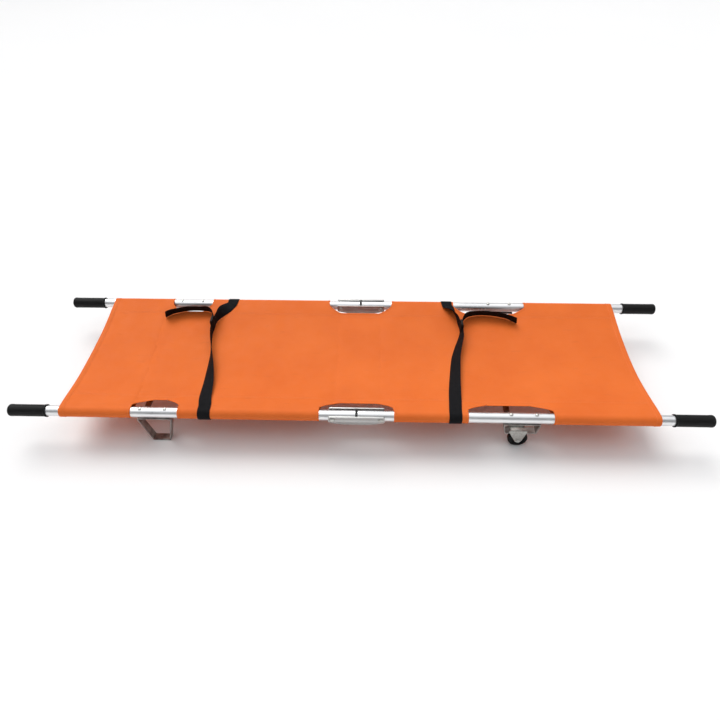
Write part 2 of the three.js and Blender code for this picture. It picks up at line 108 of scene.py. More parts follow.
# ---------------------------------------------------------------- camera
def make_camera():
    """A camera above and before the stretcher's right side: yaw is from +Y, pitch is downward."""
    yaw, pitch, roll = (math.radians(angle) for angle in (-1.94, 44.59, -0.57))
    forward = Vector((math.sin(yaw) * math.cos(pitch), math.cos(yaw) * math.cos(pitch), -math.sin(pitch)))
    level = Vector((math.cos(yaw), -math.sin(yaw), 0))
    upright = level.cross(forward)
    right = level * math.cos(roll) + upright * math.sin(roll)
    up = upright * math.cos(roll) - level * math.sin(roll)
    data = bpy.data.cameras.new("camera")
    data.sensor_width = 36
    data.lens = 28.375
    data.clip_end = 100
    camera = bpy.data.objects.new("camera", data)
    bpy.context.scene.collection.objects.link(camera)
    turn = Matrix((right, up, -forward)).transposed().to_4x4()
    camera.matrix_world = Matrix.Translation((0.049, -1.346, POLE_Z + 1.306)) @ turn
    bpy.context.scene.camera = camera


make_camera()


# ---------------------------------------------------------------- materials
class Material:
    """A Principled material and short ways to add procedural nodes to it."""

    def __init__(self, name, color, roughness, metallic=0.0, **constants):
        self.material = bpy.data.materials.new(name)
        self.material.use_nodes = True
        self.nodes = self.material.node_tree.nodes
        self.links = self.material.node_tree.links
        self.surface = self.nodes["Principled BSDF"]
        self.material.diffuse_color = (*color, 1)
        self.set(self.surface, "Base Color", (*color, 1))
        self.set(self.surface, "Roughness", roughness)
        self.set(self.surface, "Metallic", metallic)
        for socket, value in constants.items():
            self.set(self.surface, socket.replace("_", " "), value)

    def set(self, node, socket, value):
        target = node.inputs[socket]
        if isinstance(value, bpy.types.NodeSocket):
            self.links.new(value, target)
        else:
            target.default_value = value

    def math(self, operation, *values):
        node = self.nodes.new("ShaderNodeMath")
        node.operation = operation
        for i, value in enumerate(values):
            self.set(node, i, value)
        return node.outputs[0]

    def own_place(self, stretch=(1, 1, 1)):
        """The point on the object, in metres, scaled along each axis."""
        place = self.nodes.new("ShaderNodeTexCoord").outputs["Object"]
        return self.scaled(place, stretch)

    def scaled(self, vector, stretch):
        node = self.nodes.new("ShaderNodeVectorMath")
        node.operation = "MULTIPLY"
        self.set(node, 0, vector)
        self.set(node, 1, stretch)
        return node.outputs[0]

    def cloth_place(self):
        """The point on a flat-cut sheet, in metres: (along the stretcher, across the cloth)."""
        node = self.nodes.new("ShaderNodeAttribute")
        node.attribute_name = "flat_place"
        return node.outputs["Vector"]

    def noise(self, vector, scale, detail=4.0, rough=0.5):
        node = self.nodes.new("ShaderNodeTexNoise")
        self.set(node, "Vector", vector)
        self.set(node, "Scale", scale)
        self.set(node, "Detail", detail)
        self.set(node, "Roughness", rough)
        return node.outputs["Fac"]

    def cells(self, vector, scale):
        node = self.nodes.new("ShaderNodeTexVoronoi")
        self.set(node, "Vector", vector)
        self.set(node, "Scale", scale)
        separate = self.nodes.new("ShaderNodeSeparateColor")
        self.links.new(node.outputs["Color"], separate.inputs[0])
        return separate.outputs[0]

    def remap(self, value, low, high, to_low, to_high):
        node = self.nodes.new("ShaderNodeMapRange")
        for socket, number in zip((0, 1, 2, 3, 4), (value, low, high, to_low, to_high)):
            self.set(node, socket, number)
        return node.outputs[0]

    def mix(self, factor, first, second):
        node = self.nodes.new("ShaderNodeMix")
        node.data_type = "RGBA"
        self.set(node, 0, factor)
        for socket, value in ((6, first), (7, second)):
            self.set(node, socket, (*value, 1) if isinstance(value, tuple) else value)
        return node.outputs[2]

    def wave(self, coordinate, pitch):
        """A sine from -1 to 1 that repeats every pitch metres."""
        return self.math("SINE", self.math("MULTIPLY", coordinate, 2 * math.pi / pitch))

    def split(self, vector):
        node = self.nodes.new("ShaderNodeSeparateXYZ")
        self.links.new(vector, node.inputs[0])
        return node.outputs

    def bump(self, height, distance, strength=1.0):
        """Adds a bump of that height in metres over any bump already there."""
        node = self.nodes.new("ShaderNodeBump")
        self.set(node, "Height", height)
        self.set(node, "Distance", distance)
        self.set(node, "Strength", strength)
        before = self.surface.inputs["Normal"].links
        if before:
            self.links.new(before[0].from_socket, node.inputs["Normal"])
        self.links.new(node.outputs[0], self.surface.inputs["Normal"])

    def color(self, value):
        self.set(self.surface, "Base Color", value)

    def roughness(self, value):
        self.set(self.surface, "Roughness", value)


def bed_cloth():
    """Orange coated plain weave, with soft shade changes, faint handling marks and rubbed patches."""
    m = Material("bed_cloth", (0.78, 0.16, 0.025), 0.62, Specular_IOR_Level=0.18)
    place = m.cloth_place()
    along, across, _ = m.split(place)
    pitch = 0.0011
    weave = m.math("MULTIPLY", m.wave(along, pitch), m.wave(across, pitch))
    broad = m.noise(place, 5, 3)
    shade = m.mix(m.remap(broad, 0.3, 0.7, 0, 1), (0.77, 0.149, 0.022), (0.84, 0.177, 0.029))
    marks = m.noise(m.scaled(place, (1, 4.5, 1)), 16, 5, 0.65)
    shade = m.mix(m.remap(marks, 0.6, 0.78, 0, 0.3), shade, (0.5, 0.105, 0.03))
    shade = m.mix(m.remap(weave, -1, 1, 0, 0.12), shade, (0.6, 0.12, 0.025))
    m.color(shade)
    m.roughness(m.remap(m.noise(place, 30, 3), 0.3, 0.7, 0.54, 0.7))
    m.bump(weave, 0.00007)
    m.bump(m.noise(place, 90, 3), 0.0003, 0.5)
    return m.material


def thread():
    """Sewing thread, a shade lighter than the cloth."""
    m = Material("thread", (0.9, 0.27, 0.08), 0.55)
    place = m.own_place()
    m.color(m.mix(m.noise(place, 400, 2), (0.8, 0.2, 0.05), (0.95, 0.32, 0.1)))
    m.bump(m.noise(place, 2500, 1), 0.0001)
    return m.material


def webbing():
    """Black polypropylene webbing with ribs along it and slanting picks across them."""
    m = Material("webbing", (0.006, 0.006, 0.006), 0.75, Specular_IOR_Level=0.08)
    place = m.cloth_place()
    along, across, _ = m.split(place)
    rib = m.math("ABSOLUTE", m.wave(across, 0.0052))
    slant = m.math("ADD", along, m.math("MULTIPLY", rib, 0.0012))
    height = m.math("MULTIPLY", rib, m.remap(m.wave(slant, 0.0018), -1, 1, 0.55, 1))
    worn = m.noise(place, 70, 4)
    dark = m.mix(worn, (0.003, 0.003, 0.004), (0.008, 0.008, 0.009))
    m.color(m.mix(m.remap(height, 0.2, 1, 0, 0.75), dark, (0.016, 0.016, 0.018)))
    m.roughness(m.remap(worn, 0.3, 0.7, 0.6, 0.8))
    m.bump(height, 0.00035)
    return m.material


def aluminium():
    """Drawn tube: fine lines and a few long scratches along X, with duller patches."""
    m = Material("aluminium", (0.83, 0.835, 0.84), 0.27, 1.0)
    place = m.own_place()
    lines = m.noise(m.scaled(place, (4, 700, 700)), 1, 4, 0.6)
    patches = m.noise(place, 14, 4)
    scratches = m.noise(m.scaled(place, (9, 260, 260)), 1, 2)
    scratched = m.remap(scratches, 0.66, 0.7, 0, 1)
    bright = m.mix(patches, (0.76, 0.765, 0.77), (0.88, 0.885, 0.89))
    m.color(m.mix(m.math("MULTIPLY", scratched, 0.35), bright, (0.5, 0.5, 0.5)))
    smooth = m.remap(patches, 0.3, 0.7, 0.2, 0.34)
    m.roughness(m.math("ADD", smooth, m.math("MULTIPLY", lines, 0.1)))
    m.bump(lines, 0.00004)
    return m.material


def hinge_plate():
    """Pressed aluminium plate with a satin, lightly handled face."""
    m = Material("hinge_plate", (0.5, 0.5, 0.49), 0.4, 1.0)
    place = m.own_place()
    mottle = m.noise(place, 60, 5, 0.6)
    lines = m.noise(m.scaled(place, (20, 500, 500)), 1, 3)
    m.color(m.mix(mottle, (0.4, 0.4, 0.39), (0.58, 0.58, 0.57)))
    m.roughness(m.remap(mottle, 0.3, 0.7, 0.3, 0.45))
    m.bump(lines, 0.00005)
    return m.material


def steel_bar():
    """Dull plated flat bar, darker in patches where the plating has tarnished."""
    m = Material("steel_bar", (0.3, 0.28, 0.27), 0.42, 1.0)
    place = m.own_place()
    tarnish = m.noise(place, 45, 6, 0.65)
    fine = m.noise(place, 500, 3)
    m.color(m.mix(m.remap(tarnish, 0.35, 0.65, 0, 1), (0.2, 0.175, 0.165), (0.42, 0.4, 0.38)))
    m.roughness(m.remap(tarnish, 0.3, 0.7, 0.34, 0.52))
    m.bump(fine, 0.00006)
    return m.material


def zinc():
    """Zinc plate with small soft spangles."""
    m = Material("zinc", (0.55, 0.55, 0.52), 0.38, 1.0)
    place = m.own_place()
    spangle = m.cells(place, 350)
    cloud = m.noise(place, 120, 4)
    base = m.mix(spangle, (0.46, 0.46, 0.43), (0.64, 0.64, 0.61))
    m.color(m.mix(m.remap(cloud, 0.5, 0.8, 0, 0.5), base, (0.36, 0.35, 0.32)))
    m.roughness(m.remap(spangle, 0, 1, 0.32, 0.46))
    m.bump(cloud, 0.00005)
    return m.material


def black_rubber(name, tone, grain):
    """Moulded black rubber with a fine grain and pale dusty patches."""
    m = Material(name, (tone, tone, tone), 0.5, Specular_IOR_Level=0.16)
    place = m.own_place()
    dust = m.noise(place, 35, 5, 0.6)
    pale = tone * 2.4
    m.color(m.mix(m.remap(dust, 0.45, 0.75, 0, 0.6), (tone, tone, tone), (pale, pale, pale)))
    m.roughness(m.remap(dust, 0.3, 0.7, 0.42, 0.62))
    m.bump(m.noise(place, grain, 3), 0.00012)
    return m.material


MATERIALS = {
    "bed_cloth": bed_cloth(),
    "webbing": webbing(),
    "aluminium": aluminium(),
    "hinge_plate": hinge_plate(),
    "steel_bar": steel_bar(),
    "zinc": zinc(),
    "grip_rubber": black_rubber("grip_rubber", 0.007, 1600),
    "wheel_rubber": black_rubber("wheel_rubber", 0.004, 900),
    "buckle_plastic": black_rubber("buckle_plastic", 0.005, 2200),
}
THREAD = thread()


# ---------------------------------------------------------------- mesh building
def join(*shapes):
    """Several (vertices, faces) as one."""
    vertices, faces = [], []
    for points, polygons in shapes:
        start = len(vertices)
        vertices += [Vector(p) for p in points]
        faces += [[start + i for i in polygon] for polygon in polygons]
    return vertices, faces


def moved(shape, matrix):
    return [matrix @ Vector(p) for p in shape[0]], shape[1]


def shifted(shape, x=0.0, y=0.0, z=0.0):
    return moved(shape, Matrix.Translation((x, y, z)))


def along_axis(shape, axis):
    """Turns a shape made along +Z so that it lies along +X or +Y."""
    if axis == "x":
        return moved(shape, Matrix.Rotation(math.pi / 2, 4, "Y"))
    if axis == "y":
        return moved(shape, Matrix.Rotation(-math.pi / 2, 4, "X"))
    return shape


def lathe(profile, segments=64, flute=None):
    """Turns (radius, height) points round +Z. An open profile has both its ends on the axis."""
    vertices, rings = [], []
    for radius, height in profile:
        if radius < 1e-7:
            rings.append([len(vertices)])
            vertices.append((0, 0, height))
            continue
        rings.append(list(range(len(vertices), len(vertices) + segments)))
        for k in range(segments):
            angle = 2 * math.pi * k / segments
            r = radius - (flute(height, angle) if flute else 0)
            vertices.append((r * math.cos(angle), r * math.sin(angle), height))
    closed = len(rings[0]) > 1
    pairs = list(zip(rings, rings[1:])) + ([(rings[-1], rings[0])] if closed else [])
    faces = []
    for a, b in pairs:
        for k in range(segments):
            n = (k + 1) % segments
            if len(a) == 1:
                faces.append([a[0], b[k], b[n]])
            elif len(b) == 1:
                faces.append([a[k], b[0], a[n]])
            else:
                faces.append([a[k], b[k], b[n], a[n]])
    return vertices, faces


def ring_faces(count, around, closed=False):
    """Quads between neighbouring rings of vertices, and back to the first ring if closed."""
    faces = []
    for i in range(count if closed else count - 1):
        a, b = i * around, (i + 1) % count * around
        for k in range(around):
            n = (k + 1) % around
            faces.append([a + k, b + k, b + n, a + n])
    return faces


def end_faces(count, around):
    """A face over the first of those rings and one over the last."""
    last = (count - 1) * around
    return [list(range(around)), list(range(last, last + around))[::-1]]


def rounded_outline(corners, radius, steps=8):
    """A polygon with each corner replaced by an arc of that radius, or of its own in a list."""
    points = [Vector(c) for c in corners]
    radii = radius if isinstance(radius, (list, tuple)) else [radius] * len(points)
    outline = []
    for i, corner in enumerate(points):
        back = (points[i - 1] - corner).normalized()
        ahead = (points[(i + 1) % len(points)] - corner).normalized()
        half = back.angle(ahead) / 2
        reach = radii[i] / math.tan(half)
        middle = corner + (back + ahead).normalized() * (radii[i] / math.sin(half))
        first = corner + back * reach - middle
        last = corner + ahead * reach - middle
        sweep = first.angle_signed(last)
        for k in range(steps + 1):
            turn = Matrix.Rotation(-sweep * k / steps, 2)
            outline.append(middle + turn @ first)
    return outline


def circle(x, y, radius, steps=32):
    angles = [2 * math.pi * k / steps for k in range(steps)]
    return [Vector((x + radius * math.cos(a), y + radius * math.sin(a))) for a in angles]


def half_circle(y, radius, start=0.0, steps=16):
    """Half a circle about (0, y), counterclockwise from the angle start."""
    angles = [start + math.pi * k / steps for k in range(steps + 1)]
    return [Vector((radius * math.cos(a), y + radius * math.sin(a))) for a in angles]


def rectangle(x_low, x_high, y_low, y_high):
    return [(x_low, y_low), (x_high, y_low), (x_high, y_high), (x_low, y_high)]


def plate(outline, holes, thickness, bevel=0.0003):
    """A flat plate in XY, from z = 0 up, with its edges and the edges of its holes bevelled."""
    curve = bpy.data.curves.new("plate", "CURVE")
    curve.dimensions = "2D"
    curve.fill_mode = "BOTH"
    curve.extrude = thickness / 2 - bevel
    curve.bevel_depth = bevel
    curve.bevel_resolution = 1
    curve.offset = -bevel
    for points in [outline, *holes]:
        spline = curve.splines.new("POLY")
        spline.points.add(len(points) - 1)
        for target, point in zip(spline.points, points):
            target.co = (point[0], point[1], 0, 1)
        spline.use_cyclic_u = True
    holder = bpy.data.objects.new("plate", curve)
    bpy.context.scene.collection.objects.link(holder)
    bpy.context.view_layer.update()
    mesh = bpy.data.meshes.new_from_object(holder.evaluated_get(bpy.context.evaluated_depsgraph_get()))
    shape = [v.co.copy() for v in mesh.vertices], [list(p.vertices) for p in mesh.polygons]
    bpy.data.objects.remove(holder)
    bpy.data.curves.remove(curve)
    bpy.data.meshes.remove(mesh)
    return shifted(shape, z=thickness / 2)


def standing(shape):
    """Turns a plate drawn in XY so that it stands in XZ, with its thickness along +Y from 0."""
    swap = Matrix(((1, 0, 0, 0), (0, 0, 1, 0), (0, 1, 0, 0), (0, 0, 0, 1)))
    return moved(shape, swap)


def pressing(face, web, y, inner, thickness, web_z):
    """Two standing side plates, inner away from y on each side, joined by a level web."""
    return join(
        shifted(face, y=y + inner), shifted(face, y=y - inner - thickness), shifted(web, y=y, z=web_z),
    )


def shade(mesh, sharp, weld=False, turn=None):
    """Smooth shading, sharp where two faces meet at more than that angle, with faces turned outward.

    turn may pick, face by face, which of them are turned.
    """
    editing = bmesh.new()
    editing.from_mesh(mesh)
    if weld:
        bmesh.ops.remove_doubles(editing, verts=editing.verts, dist=1e-6)
    faces = editing.faces if turn is None else [f for f, pick in zip(editing.faces, turn) if pick]
    bmesh.ops.recalc_face_normals(editing, faces=faces)
    editing.to_mesh(mesh)
    editing.free()
    mesh.polygons.foreach_set("use_smooth", [True] * len(mesh.polygons))
    mesh.set_sharp_from_angle(angle=math.radians(sharp))


def finish_piece(name, mesh, body, replaces, materials):
    """Puts a finished mesh in the scene, on its body, standing for its CAD nodes."""
    for material in materials:
        mesh.materials.append(material)
    piece = bpy.data.objects.new(name, mesh)
    bpy.context.scene.collection.objects.link(piece)
    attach(piece, body)
    if replaces:
        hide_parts(*replaces)
    return piece


def solid_piece(name, shape, slot, replaces, body=None, sharp=35):
    """A closed solid from (vertices, faces)."""
    mesh = bpy.data.meshes.new(name)
    mesh.from_pydata([tuple(v) for v in shape[0]], [], shape[1])
    shade(mesh, sharp, weld=True)
    return finish_piece(name, mesh, body or body_of(replaces[0]), replaces, [MATERIALS[slot]])


# ---------------------------------------------------------------- poles, grips and fasteners
def tube_shape(inner, outer):
    """A half pole's open tube between two distances from the middle of the stretcher."""
    chamfer = 0.0004
    bore = TUBE_RADIUS - TUBE_WALL
    profile = [
        (TUBE_RADIUS - chamfer, inner), (TUBE_RADIUS, inner + chamfer), (TUBE_RADIUS, outer - chamfer),
        (TUBE_RADIUS - chamfer, outer), (bore, outer), (bore, inner),
    ]
    return along_axis(lathe(profile, 96), "x")


def grip_shape(inner, outer):
    """A rubber grip: a collar round its mouth, shallow flutes along it and a rounded, closed end."""
    bore = TUBE_RADIUS + GAP
    body = TUBE_RADIUS + 0.0022
    collar = body + 0.0013
    corner = 0.0065
    profile = [
        (0, outer - 0.005), (bore, outer - 0.005), (bore, inner + 0.0006), (bore + 0.0006, inner),
        (collar - 0.0010, inner), (collar - 0.0003, inner + 0.0003), (collar, inner + 0.0010),
        (collar, inner + 0.0042), (collar - 0.0003, inner + 0.0050), (body + 0.0003, inner + 0.0062),
        (body, inner + 0.0080),
    ]
    flute_start, flute_end = inner + 0.010, outer - 0.020
    for k in range(13):
        profile.append((body, flute_start + (flute_end - flute_start) * k / 12))
    profile += [(body + 0.0002, outer - 0.014), (body + 0.0004, outer - 0.010)]
    for k in range(9):
        angle = math.pi / 2 * k / 8
        ring = body + 0.0004 - corner + corner * math.cos(angle)
        profile.append((ring, outer - corner + corner * math.sin(angle)))
    profile += [(0.009, outer), (0, outer)]

    def flute(height, angle):
        ease = min(height - flute_start, flute_end - height) / 0.006
        depth = 0.0004 * max(0.0, min(1.0, ease))
        return depth * (0.5 + 0.5 * math.cos(16 * angle)) ** 3

    return along_axis(lathe(profile, 128, flute), "x")


def domed_pin(node, axis, shank, head_height, collars=()):
    """A pin or rivet in a node's box: a shank with a low dome at both ends and any collars."""
    low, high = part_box(node)
    index = "xyz".index(axis)
    across = (index + 1) % 3
    head = (high[across] - low[across]) / 2
    middle = (low + high) / 2
    half = (high[index] - low[index]) / 2
    brim = 0.0005
    dome = [(head - 0.0002, half - head_height), (head, half - head_height + brim)]
    for k in range(1, 10):
        angle = math.pi / 2 * k / 9
        rise_of_dome = (head_height - brim) * math.sin(angle)
        dome.append((head * math.cos(angle), half - head_height + brim + rise_of_dome))
    dome[-1] = (0, half)
    profile = [(r, -h) for r, h in reversed(dome)]
    profile.append((shank, -half + head_height))
    for radius, start, end in collars:
        start, end = start - middle[index], end - middle[index]
        profile += [(shank, start), (radius, start), (radius, end), (shank, end)]
    profile.append((shank, half - head_height))
    profile += dome
    return moved(along_axis(lathe(profile, 40), axis), Matrix.Translation(middle))


def make_poles():
    """The four half poles, each with its grip, mirrored from the castor end."""
    for end, direction in ENDS.items():
        for side in SIDES:
            node = f"{end}_pole_{side}"
            low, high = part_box(node)
            near, far = sorted((abs(low.x), abs(high.x)))
            y = centre(node).y
            turn = Matrix.Diagonal((direction, 1, 1, 1))
            place = Matrix.Translation((0, y, POLE_Z)) @ turn
            solid_piece(f"{node}_tube", moved(tube_shape(near, far), place), "aluminium", [node])
            grip = f"{end}_grip_{side}"
            low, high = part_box(grip)
            near, far = sorted((abs(low.x), abs(high.x)))
            solid_piece(f"{grip}_moulding", moved(grip_shape(near, far), place), "grip_rubber", [grip])


def make_fasteners():
    """Hinge pins, rivets, spreader bolts, castor axles and knuckle rivets, all with domed ends."""
    for side in SIDES:
        for end in ENDS:
            pin = f"{end}_hinge_pin_{side}"
            solid_piece(f"{pin}_domed", domed_pin(pin, "y", 0.005, 0.004), "zinc", [pin])
            for number in (1, 2):
                rivet = f"{end}_rivet_{number}_{side}"
                solid_piece(f"{rivet}_domed", domed_pin(rivet, "z", 0.003, 0.003), "zinc", [rivet])
            bolt = f"{end}_spreader_pivot_{side}"
            link_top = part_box(f"{end}_spreader_link_{side}")[1].z
            tab_bottom = POLE_Z - TUBE_RADIUS - GAP - BAR_THICKNESS
            collar = [(0.0063, link_top + GAP, tab_bottom - GAP)]
            solid_piece(f"{bolt}_bolt", domed_pin(bolt, "z", 0.004, 0.003, collar), "zinc", [bolt])
        axle = f"castor_axle_{side}"
        solid_piece(f"{axle}_domed", domed_pin(axle, "y", 0.004, 0.003), "zinc", [axle])
    for end in ENDS:
        knuckle = f"{end}_spreader_knuckle"
        solid_piece(f"{knuckle}_rivet", domed_pin(knuckle, "z", 0.004, 0.0025), "zinc", [knuckle])


# ---------------------------------------------------------------- hinges, feet, castors, spreaders
def make_hinge_channels():
    """Two side plates and a web under the tube ends, at the middle of each pole."""
    pin_x = centre("wheel_hinge_pin_left").x
    plate_top = POLE_Z + 0.014
    thickness = 0.003
    for side, sign in SIDES.items():
        node = f"hinge_channel_{side}"
        low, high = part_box(node)
        y = sign * POLE_Y
        end_x, web_x = high.x, 0.048
        web_top = POLE_Z - TUBE_RADIUS - GAP
        corners = [
            (-end_x, plate_top), (-end_x, POLE_Z - 0.011), (-web_x, web_top - thickness), (0, low.z),
            (web_x, web_top - thickness), (end_x, POLE_Z - 0.011), (end_x, plate_top),
        ]
        outline = rounded_outline(corners, [0.004, 0.006, 0.03, 0.08, 0.03, 0.006, 0.004])
        holes = [circle(x, POLE_Z, 0.0053) for x in (-pin_x, pin_x)]
        face = standing(plate(outline, holes, thickness, 0.0004))
        inner = TUBE_RADIUS + GAP
        web_y = inner + 0.001
        web = plate(rectangle(-web_x, web_x, -web_y, web_y), [], thickness - GAP)
        shape = pressing(face, web, y, inner, thickness, web_top - thickness + GAP)
        solid_piece(f"{node}_pressing", shape, "hinge_plate", [node], sharp=30)


def bar_loop(corners, width, thickness, radius):
    """Flat bar bent round a closed outline in XZ, given by its outer corners; its width is along Y."""
    outer = rounded_outline(corners, radius, 10)
    count = len(outer)
    chamfer = 0.0004
    half = width / 2
    section = [
        (0, half - chamfer), (chamfer, half), (thickness - chamfer, half), (thickness, half - chamfer),
        (thickness, chamfer - half), (thickness - chamfer, -half), (chamfer, -half), (0, chamfer - half),
    ]
    centre_point = sum(outer, Vector((0, 0))) / count
    vertices = []
    for i, point in enumerate(outer):
        along = (outer[(i + 1) % count] - outer[i - 1]).normalized()
        inward = Vector((-along.y, along.x))
        if inward.dot(centre_point - point) < 0:
            inward = -inward
        for depth, y in section:
            spot = point + inward * depth
            vertices.append((spot.x, y, spot.y))
    return vertices, ring_faces(count, len(section), closed=True)


def make_bar_loops():
    """The feet and castor brackets, each with the tab that its spreader bar turns on."""
    width, tab_radius = 0.025, 0.009
    top = POLE_Z - TUBE_RADIUS - GAP
    for end, kind, bottom_width in (("foot", "foot_loop", 0.054), ("wheel", "castor_bracket", 0.095)):
        for side, sign in SIDES.items():
            node = f"{kind}_{side}"
            low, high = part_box(node)
            x, half_top, half_bottom = (low.x + high.x) / 2, (high.x - low.x) / 2, bottom_width / 2
            corners = [
                (x - half_top - 0.001, top), (x - half_bottom, low.z), (x + half_bottom, low.z),
                (x + half_top + 0.001, top),
            ]
            loop = bar_loop(corners, width, BAR_THICKNESS, [0.006, 0.007, 0.007, 0.006])
            pivot = centre(f"{end}_spreader_pivot_{side}")
            reach = abs(pivot.y - sign * POLE_Y)
            root = width / 2 - 0.001
            outline = [(-tab_radius, root), (tab_radius, root), *half_circle(reach, tab_radius)]
            tab = plate(outline, [circle(0, reach, BOLT_HOLE)], BAR_THICKNESS, 0.0004)
            tab = moved(tab, Matrix.Diagonal((1, -sign, 1, 1)))
            tab = shifted(tab, pivot.x, sign * POLE_Y, top - BAR_THICKNESS)
            shape = join(shifted(loop, y=sign * POLE_Y), tab)
            solid_piece(f"{node}_bar", shape, "steel_bar", [node], sharp=30)


def make_castors():
    """A fixed fork, pressed from plate, and a solid-tyred wheel under each castor bracket."""
    thickness = 0.0025
    for side, sign in SIDES.items():
        fork = f"castor_fork_{side}"
        axle = centre(f"castor_axle_{side}")
        low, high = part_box(fork)
        tip = 0.008
        cheek = [
            (high.x, high.z), (low.x, high.z), (axle.x - tip * 0.95, axle.z - tip * 0.75),
            (axle.x + tip * 0.95, axle.z - tip * 0.75),
        ]
        outline = rounded_outline(cheek, [0.003, 0.003, 0.009, 0.009])
        face = standing(plate(outline, [circle(axle.x, axle.z, BOLT_HOLE)], thickness, 0.0004))
        y = sign * POLE_Y
        inner = high.y - y - thickness
        web_z = POLE_Z - BRACKET_DEPTH + BAR_THICKNESS + GAP
        web_half_length = 0.021
        web_x = axle.x - 0.008
        web_y = inner + 0.0005
        corners = rectangle(web_x - web_half_length, web_x + web_half_length, -web_y, web_y)
        web = plate(corners, [], thickness)
        shape = pressing(face, web, y, inner, thickness, web_z)
        solid_piece(f"{fork}_pressing", shape, "zinc", [fork], sharp=30)

        wheel = f"castor_wheel_{side}"
        radius, half = size(wheel).z / 2, size(wheel).y / 2
        one_face = [
            (BOLT_HOLE, half), (0.0080, half), (0.0084, half - 0.0004), (0.0088, half - 0.0028),
            (0.0094, half - 0.0032), (0.0194, half - 0.0032), (0.0202, half - 0.0026),
            (0.0206, half - 0.0008), (0.0212, half - 0.0005),
            (radius - 0.0030, half - 0.0005), (radius - 0.0016, half - 0.0012),
            (radius - 0.0006, half - 0.0028), (radius - 0.0001, half - 0.0050), (radius, half - 0.0070),
            (radius, 0.0006),
        ]
        mould_line = [(radius, 0.0)]
        other_face = [(r, -h) for r, h in reversed(one_face)]
        tyre = along_axis(lathe(one_face + mould_line + other_face, 112), "y")
        tyre = moved(tyre, Matrix.Translation(centre(wheel)))
        solid_piece(f"{wheel}_tyre", tyre, "wheel_rubber", [wheel], sharp=40)


def make_spreaders():
    """The four flat links of the two spreader bars."""
    for end in ENDS:
        for side, sign in SIDES.items():
            node = f"{end}_spreader_link_{side}"
            low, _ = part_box(node)
            radius = size(node).x / 2
            pivot = centre(f"{end}_spreader_pivot_{side}")
            outline = half_circle(LINK_LENGTH, radius) + half_circle(0, radius, math.pi)
            holes = [circle(0, y, BOLT_HOLE) for y in (0, LINK_LENGTH)]
            link = plate(outline, holes, size(node).z, 0.0005)
            link = moved(link, Matrix.Diagonal((1, -sign, 1, 1)))
            link = shifted(link, pivot.x, pivot.y, low.z)
            solid_piece(f"{node}_bar", link, "steel_bar", [node], sharp=30)


# ---------------------------------------------------------------- the cloth's cut
# Cut-outs, where the bare pole shows: how far in from the pole they reach, the run of each corner
# along X on each side of the stretcher, and how far their free edge droops
CUTS = {
    "foot": {"reach": 0.2115, "right": (0.060, 0.045), "left": (0.030, 0.032), "droop": 0.008},
    "hinge": {"reach": 0.2125, "right": (0.062, 0.050), "left": (0.044, 0.048), "droop": 0.007},
    "castor": {"reach": 0.2145, "right": (0.060, 0.066), "left": (0.044, 0.050), "droop": 0.006},
}
# Sleeves along each pole, with the cut-outs that they begin and end at
SLEEVES = {
    "foot_outer": (None, "foot"),
    "foot_inner": ("foot", "hinge"),
    "wheel_inner": ("hinge", "castor"),
    "wheel_outer": ("castor", None),
}


def cut_spans(side):
    """Each cut-out's low and high X beside the tube, between the sleeves' ends."""
    spans = {}
    for name, (before, after) in SLEEVES.items():
        low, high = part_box(f"sleeve_{name}_{side}")
        if before:
            spans.setdefault(before, [0, 0])[1] = low.x
        if after:
            spans.setdefault(after, [0, 0])[0] = high.x
    return spans


CUT_SPANS = {side: cut_spans(side) for side in SIDES}


# ---------------------------------------------------------------- the cloth's surface
CLOTH = 0.0010  # thickness of one layer
SLEEVE_RADIUS = TUBE_RADIUS + 0.0006 + CLOTH / 2
CREST = POLE_Y - TUBE_RADIUS  # where the bed's curve reaches the height of the sleeve's top
CREST_HEIGHT = TUBE_RADIUS + 0.0014
SEAM = 0.1955  # the seam that closes each sleeve, from the centre line
SEAM_ROWS = (SEAM, SEAM + 0.0045)  # its two rows of stitches
HEM = 0.018  # width of the hem at the cloth's two ends
CUT_HEM = 0.007  # width of the hem round a cut-out
HEM_SWELL = 0.00055  # how far a hem stands out from each face of the cloth
STITCH_INSET = 0.0022  # from a hem's inner edge to its stitches
HEM_STITCH_LIFT = CLOTH / 2 + 0.00065  # from the cloth's middle to the stitches on a hem
PANEL_LINE = FOLD_LINE + 0.00015  # where the bed's middle panel meets the end panels
LAND_ANGLE, LEAVE_ANGLE = math.radians(84), math.radians(299)  # where the cloth meets and leaves a tube
TOP_RUN = 0.0488  # across the cloth, from the bed's edge to where it meets the tube
ROUND_RUN = SLEEVE_RADIUS * (LEAVE_ANGLE - LAND_ANGLE)
UNDER_RUN = 0.0475  # from where it leaves the tube back to the seam
SLEEVE_STARTS = (BED_EDGE, BED_EDGE + TOP_RUN, BED_EDGE + TOP_RUN + ROUND_RUN)
SLEEVE_END = SLEEVE_STARTS[2] + UNDER_RUN


def sag(x):
    """How far the bed hangs below the poles' tops: most in the middle, least at the foot end."""
    t = x / CLOTH_END
    return 0.0345 + 0.0045 * t - 0.0100 * t ** 2


def ripple(x, s, pitch_x, pitch_s, seed):
    """Smooth, uneven waves between about -1 and 1."""
    u, v = x / pitch_x + seed, s / pitch_s + 1.7 * seed
    bent = v + 0.6 * np.sin(1.3 * u + seed)
    return (
        np.sin(2.1 * u + 1.1 * np.sin(1.7 * bent)) * np.cos(1.9 * bent + 0.8 * np.sin(1.1 * u))
        + 0.5 * np.sin(3.7 * u - 2.3 * bent + 2 * seed)
    ) / 1.5


